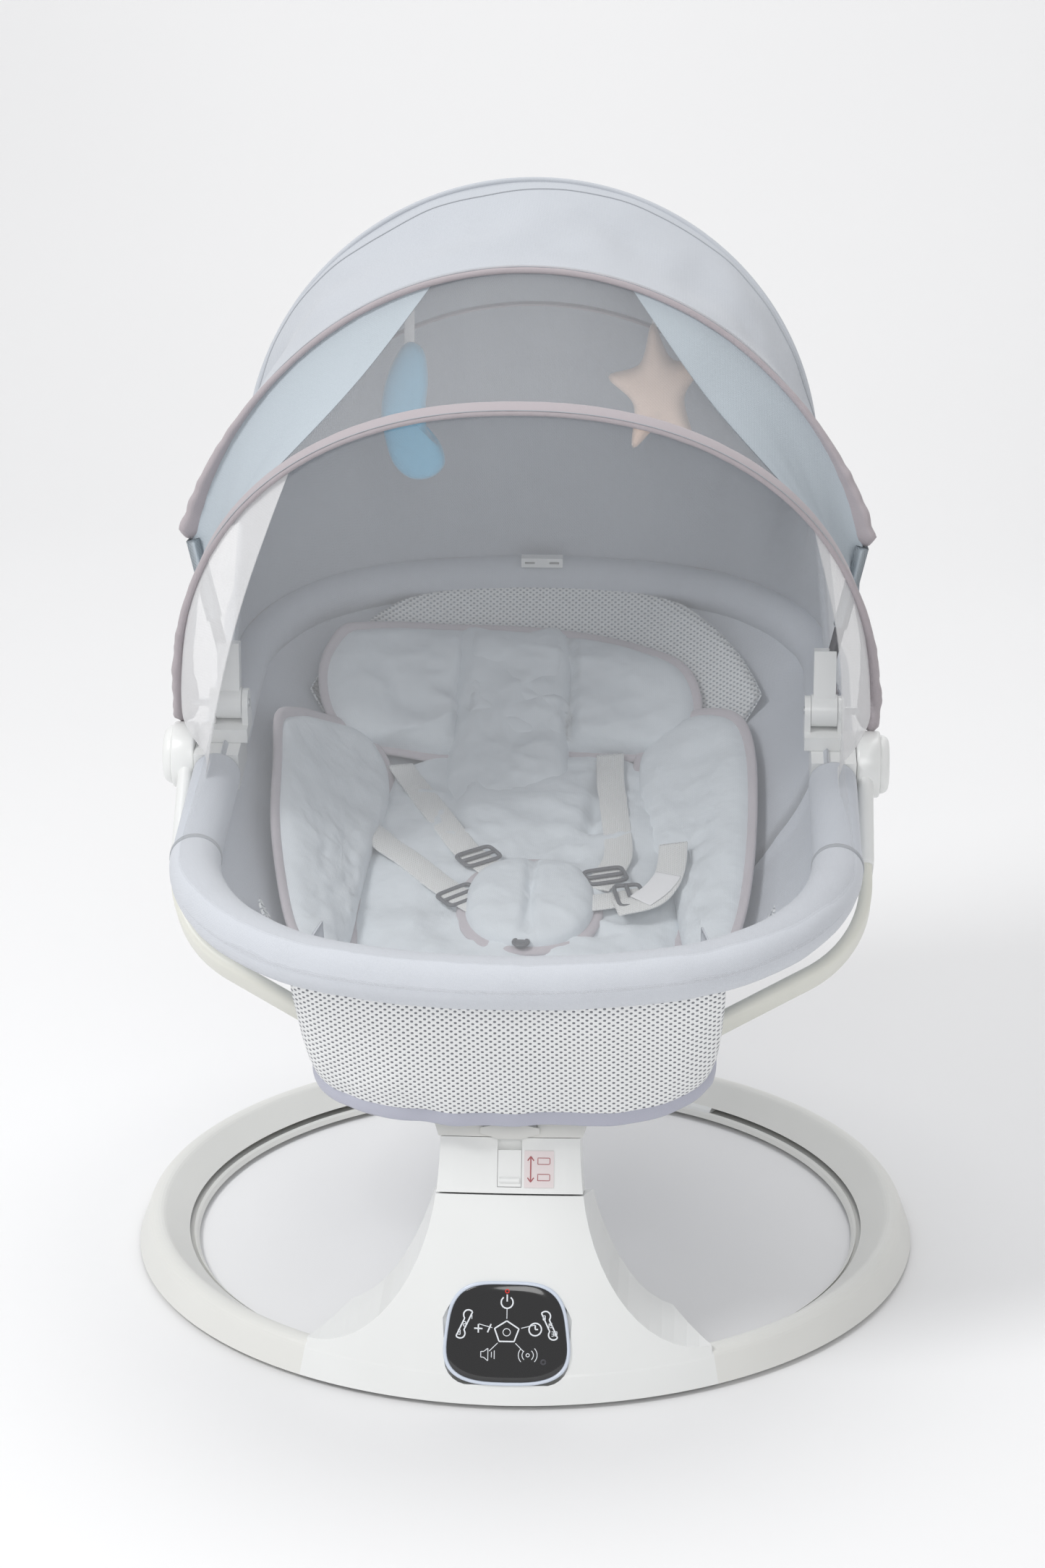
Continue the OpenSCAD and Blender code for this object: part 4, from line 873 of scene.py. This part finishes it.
rows_yz = [(-304, -10, 149, 26), (-304, -26, 150, 30), (-302, -44, 150, 38), (-299, -66, 149, 48),
           (-295, -88, 148, 58), (-290, -108, 146, 66), (-285, -122, 144, 72), (-281, -131, 142, 76)]
rows_yz = smooth_path(rows_yz, 22)
wall = front_wall(110, rows_yz)
ripple = wave(wall * [1, 1, 0.35], 34, 31) * 5.5 + wave(wall, 15, 33) * 0.8
wall[..., 1] += ripple
cloth("front_mesh_wall", seat(wall), 2.2, seat_dir([0, -1.0, 0]), "mesh", ["mesh_front"])
hem = evenly(wall[-1] + [0, 0, -3.5], 160)
share = np.abs(np.linspace(-1, 1, 160))
hem_widths = 1 + 1.1 * np.clip((share - 0.86) / 0.14, 0, 1)
piece("front_mesh_hem", *sweep(seat(hem), oval(1.6, 6.0, 14), UP, widths=hem_widths), "hem", "seat")
under = []
for t in np.linspace(0, 1, 10):
    row = wall[-1].copy()
    row[:, 0] *= mix(1, 0.86, t)
    row[:, 1] = mix(row[:, 1], -196, t)
    row[:, 2] = mix(-137, -113, t) - 5 * math.sin(math.pi * t)
    under.append(row)
cloth("front_mesh_underside", seat(under), 1.6, -UP, "blue")
for sx, tag in ((1, "right"), (-1, "left")):
    rows = []
    for t in np.linspace(0, 1, 14):
        y0, z0 = mix(-278, -205, t), mix(-14, -134, t)
        y1 = mix(-216, -192, t)
        rows.append([(sx * mix(mix(149, 142, t), 134, s), mix(y0, y1, s), mix(z0, max(z0, -112), s))
                     for s in np.linspace(0, 1, 12)])
    cloth(f"front_mesh_side_{tag}", seat(rows), 1.6, seat_dir([sx * 1.0, 0, 0]), "blue")

# ---------------------------------------------------------------- pads

def spacer_patch(name, flat):
    """White mesh laid on the bowl: flat is a grid of (x, y) in the seat's plane."""
    flat = np.array(flat)
    grid, _n = on_bowl(flat[..., 0], flat[..., 1], np.full(flat.shape[:2], 5.0))
    cloth(name, seat(grid), 2.0, UP, "mesh_band")


spacer = []
for t in np.linspace(0, 1, 8):
    angles = math.pi / 2 + np.linspace(-1, 1, 80) * 1.12
    spacer.append(np.stack(superellipse(mix(196, 160, t), mix(301, 268, t), 2.9, angles), 1))
spacer_patch("head_mesh_band", spacer)
pad("body_pad", rounded(134, 192, 3.2, 130) + [-4, -12], (-4, -12), 20, 5, 34, 0.22, 5,
    grooves=[(-60, 172, -52, 60, 0.45, 7), (60, 172, 52, 60, 0.45, 7), (-110, 20, 110, 8, 0.18, 14),
             (-100, -60, 100, -70, 0.2, 14)], replaces=["body_liner"])
for tag, first, last in (("left", 202, 248), ("right", 338, 292)):
    edge = np.stack(superellipse(200, 296, 2.9, np.radians(np.linspace(first, last, 30))), 1)
    depth = 34 * np.sin(np.linspace(0, math.pi, 30)) ** 0.8 / np.linalg.norm(edge, axis=1)
    spacer_patch(f"corner_mesh_{tag}", [edge * (1 - t * depth)[:, None] for t in np.linspace(0, 1, 6)])

HEAD_CUT = [(-150, 150), (-172, 158), (-180, 180), (-175, 206), (-156, 238), (-112, 263), (-47, 274), (21, 272),
            (71, 262), (113, 241), (131, 214), (132, 182), (106, 165), (65, 170), (28, 174), (-22, 172), (-74, 165), (-114, 161)]
pad("head_cushion", closed_curve(HEAD_CUT, 120), (-24, 218), 22, 12, 30, 0.16, 8, replaces=["head_pad"],
    grooves=[(-38, 70, -42, -64, 0.62, 5), (48, 70, 52, -64, 0.62, 5)], piping_r=5.5)
COLUMN_CUT = [(-22, 74), (-71, 80), (-72, 180), (-70, 268), (-22, 273), (24, 270), (27, 180), (26, 80)]
pad("back_column", closed_curve(COLUMN_CUT, 84), (-22, 160), 23, 12, 24, 0.18, 27, fade=(-100, 150))
WING_CUTS = {
    "left": [(-199, -40), (-205, 33), (-206, 84), (-190, 128), (-155, 158), (-127, 143), (-117, 89), (-123, 15),
             (-128, -59), (-132, -130), (-146, -196), (-158, -204), (-172, -170), (-186, -110)],
    "right": [(86, 102), (88, 162), (108, 184), (138, 187), (168, 160), (181, 112), (183, 31), (178, -69), (168, -150),
              (154, -204), (142, -196), (126, -120), (112, -44), (94, 26)],
}
for seed, tag, replaced in ((10, "left", ()), (12, "right", ["side_wings"])):
    line = WING_CUTS[tag]
    pad(f"side_wing_{tag}", closed_curve(line, 110), np.mean(line, axis=0), 17, 14, 24, 0.16, seed,
        replaces=replaced, piping_r=6.0)
pad("crotch_cushion", rounded(49, 63, 2.4, 72) + [6, -70], (6, -70), 14, 25, 20, 0.15, 17,
    grooves=[(0, 58, 0, -50, 0.5, 4)], replaces=["crotch_pad"], piping_r=6.0)

snap, nn = on_bowl(np.array([2.0]), np.array([-132.0]), np.array([33.0]))
ring = np.arange(40) * 2 * math.pi / 40
e1 = unit(np.cross(nn[0], [1.0, 0, 0]))
e2 = np.cross(nn[0], e1)
circle = snap[0] + 5.2 * (np.cos(ring)[:, None] * e1 + np.sin(ring)[:, None] * e2)
collar = sweep(seat(circle), oval(1.6, 1.2, 10), seat_dir(nn[0]), closed=True)
disc = np.vstack([seat(circle + nn[0] * 0.4), seat(snap + nn[0] * 0.9)])
piece("crotch_snap", *join(collar, (disc, [(i, (i + 1) % 40, 40) for i in range(40)])), "glide", "seat")


def webbing(points, width=22.0, thick=1.7, n=60):
    """A flat strap over points (x, y, lift off the bowl)."""
    flat = smooth_path(points, n)
    pts, nn = on_bowl(flat[:, 0], flat[:, 1], flat[:, 2])
    return sweep(seat(pts), flat_bar(width, thick, 4), seat_dir(nn))


straps = [
    webbing([(-112, 142, 18), (-96, 110, 26), (-80, 82, 28), (-62, 42, 29), (-46, 6, 30), (-28, -20, 31),
             (-14, -40, 31)]),
    webbing([(-138, 44, 26), (-120, 26, 29), (-92, -4, 29), (-62, -46, 30), (-40, -72, 31), (-22, -90, 31)]),
    webbing([(62, 166, 20), (63, 128, 27), (64, 88, 29), (70, 12, 30), (66, -20, 31), (54, -52, 32)]),
    webbing([(24, -80, 31), (50, -74, 32), (76, -66, 32), (92, -60, 32)]),
    webbing([(70, -84, 34), (96, -76, 38), (110, -46, 42), (120, -2, 43)], n=40),
]
piece("harness_webbing", *join(*straps), "webbing", "seat", ["harness"])
care_label = webbing([(88, -80, 38.6), (100, -66, 41.0), (109, -48, 43.2)], width=20, thick=0.7, n=24)
piece("harness_care_label", *care_label, "care", "seat")


def glide(x, y, lift, degrees):
    """A three-bar slide buckle, 30 mm wide and 20 mm long: two slots for the webbing."""
    turn = math.radians(degrees)
    base, nn = on_bowl(np.array([x]), np.array([y]), np.array([lift]))
    normal = nn[0]
    ahead = np.array([math.cos(turn), math.sin(turn), 0])
    ahead = unit(ahead - (ahead @ normal) * normal)
    across = np.cross(normal, ahead)
    loop = base[0] + rounded(10, 15, 6, 40) @ np.array([ahead, across])
    bar = base[0] + np.linspace(-15, 15, 6)[:, None] * across
    return join(sweep(seat(loop), oval(1.7, 1.5, 8), seat_dir(normal), closed=True),
                sweep(seat(bar), oval(1.8, 1.4, 8), seat_dir(normal)))


glides = join(glide(-36, -8, 33, -56), glide(-47, -64, 32, -50), glide(61, -36, 34, -72), glide(80, -66, 35, 12))
piece("harness_glides", *glides, "glide", "seat", ["tri_glides"])

# ---------------------------------------------------------------- canopy

MID_R, MID_C, MID_LEAN, MID_A = 253.0, 72.0, 5.0, 11.9
MID = (MID_R, MID_C, MID_LEAN, MID_A, 253.0, 2.0)
FRONT = (256.0, 12.0, -20.0, -5.2, 250.0, 2.2)
MAIN_R, MAIN_C, MAIN_LEAN = 212.0, 190.0, 25.0
LEG_FOOT = seat([RIM_W, 70, COVER_R + 5])
LEG_TOP = bow(MAIN_R, MAIN_C, MAIN_LEAN)


def arch(spec, n, off=0.0, grow=0.0, trim=0.0):
    """A bow's line from right to left; spec is (radius, centre height, lean, start angle, rise, power)."""
    r, c, lean, a0, rise, power = spec
    a = np.radians(np.linspace(a0 + trim, 180 - a0 - trim, n * 3))
    x, h = superellipse(r + grow, rise + grow, power, a)
    return evenly(bow(x, c + h, lean, off), n)


def main_line(n, low, off=0.0, grow=0.0):
    """The main bow's line from right to left; low is the share of its legs left out."""
    a = np.linspace(0, math.pi, 160)
    top = bow((MAIN_R + grow) * np.cos(a), MAIN_C + (MAIN_R + grow) * np.sin(a), MAIN_LEAN, off)
    foot = mix(LEG_FOOT, LEG_TOP, low) + [grow, off, 0]
    other = foot * [-1, 1, 1]
    leg = np.linspace(foot, top[0], 20, endpoint=False)
    return evenly(np.vstack([leg, top, (leg * [-1, 1, 1])[::-1]]), n)


def radial(line, spec):
    """Unit directions out from a bow's middle, and the direction across its plane."""
    lean = math.radians(spec[2])
    middle = np.array([0.0, PIVOT[1], PIVOT[2]]) + spec[1] * np.array([0, math.sin(lean), math.cos(lean)])
    side = np.array([0, math.cos(lean), -math.sin(lean)])
    return unit(line - middle), side


def bow_casing(name, line, spec, body, replaces, width, thick, turn, seed):
    """A flat cloth casing round a bow; it turns outward and gathers towards its ends."""
    n = len(line)
    out, side = radial(line, spec)
    share = np.minimum(np.arange(n), np.arange(n)[::-1]) / n
    ends = np.clip(1 - share / 0.22, 0, 1) ** 1.3
    phi = np.radians(turn) * ends
    up = out * np.cos(phi)[:, None] + side * np.sin(phi)[:, None]
    section = flat_bar(width, thick, 6)
    sizes = 1 + 0.55 * ends
    sizes *= np.clip(0.5 + share * 60, 0, 1)
    v, f = sweep(line, section, up, widths=sizes)
    k = len(section)
    grid = v.reshape(n, k, 3)
    gather = wave(grid * [1, 0.4, 1], 9, seed)[..., None] * (0.04 + 0.20 * ends)[:, None, None]
    grid = line[:, None, :] + (grid - line[:, None, :]) * (1 + gather)
    piece(name, grid.reshape(-1, 3), f, "binding", body, replaces)


mid_line = arch(MID, 260)
front_line = arch(FRONT, 280)
bow_casing("middle_bow_sleeve", mid_line, MID, "middle_bow", ["mid_bow"], 17, 4.8, 58, 41)
bow_casing("front_bow_sleeve", front_line, FRONT, "front_hoop", ["front_bow"], 15, 4.8, 52, 43)
main_casing = sweep(main_line(240, 0.02, 0, 1.0), oval(3.4, 7.4, 16), bow(0, 0, MAIN_LEAN, 1) - PIVOT)
piece("main_bow_casing", *main_casing, "hood", "seat", ["main_bow"])


def bow_feet(start, end, width, depth, corner):
    """The middle bow's two straight feet, as bars from start to end, each (x, h) in the bow's plane."""
    path = np.linspace(bow(*start, MID_LEAN), bow(*end, MID_LEAN), 30)
    side = bow(0, 0, MID_LEAN, 1) - PIVOT
    return join(*[sweep(path * [sx, 1, 1], flat_bar(width, depth, corner), side) for sx in (1, -1)])


strip_foot = (222.5, 20.0)
strip_top = (MID_R * math.cos(math.radians(MID_A)), MID_C + MID_R * math.sin(math.radians(MID_A)))
strip_mid = [mix(a, b, 0.42) for a, b in zip(strip_foot, strip_top)]
piece("middle_bow_strips", *bow_feet(strip_foot, strip_top, 3, 10, 4), "strip", "middle_bow")
piece("middle_bow_strip_casings", *bow_feet(strip_mid, strip_top, 5.4, 15, 5), "gusset", "middle_bow")
eyelet = [(249.5, 3.2), (249.5, 6), (250, 6.6), (258, 6.6), (258.8, 6), (258.8, 0.01)]
eyelets = join(*[revolve_x(eyelet, sx, PIVOT[1], PIVOT[2], 28) for sx in (1, -1)])
piece("front_bow_eyelets", *eyelets, "binding", "front_hoop")

for nm, line, spec, body in (("middle_bow_stitch", mid_line, MID, "middle_bow"),
                             ("front_bow_stitch", front_line, FRONT, "front_hoop")):
    out, side = radial(line, spec)
    piece(nm, *sweep((line - side * 6.3 + out * 2.5)[40:-40], oval(0.4, 0.4, 6), side), "thread", body)

# hood between the middle bow and the main bow
rows, cols = 34, 150
top_edge = arch(MID, cols, off=3.0, grow=2.4)
rear_edge = main_line(cols, 0.72, -2.5, 4.0)
HOOD_MIDDLE = np.array([0, 60.0, 560.0])


def stretched(edge_a, edge_b, rows, middle, sag, folds, seed, fold_scale=(1.0, 1.0)):
    """A grid of cloth between two edges: it sags and ripples along lines out from its middle."""
    t = np.linspace(0, 1, rows)[:, None, None]
    p = mix(edge_a[None], edge_b[None], t)
    out = unit(p - middle)
    arch_t = np.sin(math.pi * t)
    p = p + out * sag * arch_t
    s = np.linspace(0, 1, p.shape[1])[None, :]
    q = np.zeros(p.shape)
    q[..., 0], q[..., 1] = s * 14 * fold_scale[0], t[..., 0] * 1.6 * fold_scale[1]
    ripple = wave(q, 1.0, seed) + 0.35 * wave(q * [2.3, 1.6, 1], 1.0, seed + 5)
    return p + out * ripple[..., None] * folds * arch_t ** 0.8


def edge_cloth(obj, rows, cols, middle_share, material):
    """Gives the faces outside the middle share of the columns a second material."""
    obj.data.materials.append(M[material])
    for p in obj.data.polygons:
        share = sum(i % (rows * cols) % cols for i in p.vertices) / len(p.vertices) / (cols - 1)
        if abs(share - 0.5) > middle_share:
            p.material_index = 1


def spot(h, lean):
    """A point of a bow's middle plane in metres."""
    return tuple(bow(0, h, lean) * MM)


hood_grid = stretched(top_edge, rear_edge, rows, HOOD_MIDDLE, -6.0, 9.0, 51, (0.6, 1.0))
hood = piece("hood_top", *surface(hood_grid, 1.2, hood_grid - HOOD_MIDDLE), "hood", None, ["hood"])
spot(300, 24)
spot(300, 6)
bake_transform(hood)

# rear panel from the main bow to the rim
cols = 170
upper_edge = main_line(cols, 0.05, 2.5, 4.0)
flat = rim_half(78, cols, 1)
scale = 1 + 6.0 / np.linalg.norm(flat, axis=1)
lower_edge = seat(np.stack([flat[:, 0] * scale, flat[:, 1] * scale, np.full(cols, 15.0)], 1))
REAR_MIDDLE = np.array([0, 40.0, 500.0])
rear_grid = stretched(upper_edge, lower_edge, 60, REAR_MIDDLE, 5.0, 7.0, 57, (1.6, 0.8))
cloth("hood_rear_panel", rear_grid, 1.2, rear_grid - REAR_MIDDLE, "hood",
      ["rear_panel"])
stitch = evenly(mix(hood_grid[-4], hood_grid[-5], 0.5) + unit(hood_grid[-5] - HOOD_MIDDLE) * 0.3, 260)
piece("hood_stitch", *sweep(stitch, oval(0.6, 0.45, 6), [0, 0, 1.0]), "thread", "seat")
piece("rear_panel_binding", *sweep(lower_edge + [0, 0, 0.5], oval(2.4, 2.4, 10), [0, 0, 1.0]), "binding", "seat")

# inner band
band_r = 240.0
a = np.radians(np.linspace(52, 128, 60))
path = np.stack([band_r * np.cos(a), np.full(60, 164.0), 700 - band_r + band_r * np.sin(a)], 1)
band = sweep(path, flat_bar(12, 2.0, 4), np.stack([np.cos(a), 0 * a, np.sin(a)], 1))
piece("hood_inner_band", *band, "binding", "seat", ["hood_band"])

# net between the front and middle bows
rows, cols = 22, 150
front_edge = at_shares(arch(FRONT, 300, off=3.0, grow=0.5, trim=4), columns(cols, [0.3, 0.7], [0.22, 0.75]))
mid_edge = at_shares(arch(MID, 300, off=-3.0, grow=0.5), columns(cols, [0.3, 0.7], [0.39, 0.60]))
NET_MIDDLE = np.array([0, 0.0, 520.0])
net_grid = stretched(front_edge, mid_edge, rows, NET_MIDDLE, -5.0, 1.6, 61)
net = piece("hood_net", *surface(net_grid, 0.6, net_grid - NET_MIDDLE), "net", None, ["net_panel"])
edge_cloth(net, rows, cols, 0.2, "gusset")
spot(250, 3)
spot(250, -18)
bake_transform(net)

# mosquito net from the front bow to the front half of the rim
rows, cols = 40, 170
upper = at_shares(arch(FRONT, 300, off=-3.0, grow=-0.5, trim=6), columns(cols, [0.2, 0.8], [0.20, 0.72]))
flat = rim_half(40, 300, -1)
share = np.clip((-flat[:, 1] - 70) / 110, 0, 1)
scale = 1 + mix(3.0, 19.5, share) / np.linalg.norm(flat, axis=1)
lower = seat(np.stack([flat[:, 0] * scale, flat[:, 1] * scale, mix(18.6, 3.0, share)], 1))
lower = at_shares(lower, columns(cols, [0.2, 0.8], [0.03, 0.97]))
VEIL_MIDDLE = np.array([0, -60.0, 420.0])
veil_grid = stretched(upper, lower, rows, VEIL_MIDDLE, 9.0, 1.8, 67)
v, f = surface(veil_grid, 0.6, veil_grid - VEIL_MIDDLE)
veil = piece("mosquito_veil", v, f, "hex_net", "front_hoop", ["mosquito_net"])
edge_cloth(veil, rows, cols, 0.3, "veil")
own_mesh(veil)

# ---------------------------------------------------------------- toys

TOY_Y, TOY_TOP = 125.0, 746.0


def soft_body(name, outline, thick, body):
    """A stuffed shape: an outline in the X-Z plane, crowned to both sides."""
    n, rings = len(outline), 14
    centre = outline.mean(0)
    verts = []
    for sign in (-1, 1):
        for k in np.linspace(0, 1, rings) ** 0.75:
            p = centre + (outline - centre) * k
            verts += [(x, TOY_Y + sign * thick * (1 - k ** 4) ** 0.5, z) for x, z in p]
    k = rings * n
    faces = []
    for i in range(rings - 1):
        for j in range(n):
            q = (i * n + j, i * n + (j + 1) % n, (i + 1) * n + (j + 1) % n, (i + 1) * n + j)
            faces += [q, tuple(v + k for v in q[::-1])]
    obj = piece(name, verts, faces, body, body, [body + "_toy"])
    clean(obj)


moon = closed_curve([(-97, 676), (-84, 672), (-80, 650), (-82, 626), (-80, 606), (-70, 596), (-68, 582), (-78, 572),
                     (-94, 571), (-107, 582), (-114, 604), (-116, 628), (-110, 654)], 84)
soft_body("moon_plush", moon, 13, "moon")
star_pts = []
for i in range(10):
    r = 45 if i % 2 == 0 else 24
    a = math.radians(97 + 36 * i)
    star_pts.append((95 + r * math.cos(a) * 0.86, 642 + r * math.sin(a) * 1.15))
star = closed_curve(star_pts, 100)
soft_body("star_plush", star, 12, "star")
for nm, x, z1, body in (("moon_ribbon", -94, 674, "moon"), ("star_ribbon", 94, 690, "star")):
    path = np.array([(x, TOY_Y, z) for z in np.linspace(TOY_TOP, z1, 16)], float)
    path[:, 1] += 1.2 * np.sin(np.linspace(0, 3, 16))
    piece(nm, *sweep(path, flat_bar(8, 0.9, 3), [0, 1.0, 0]), "ribbon", body)
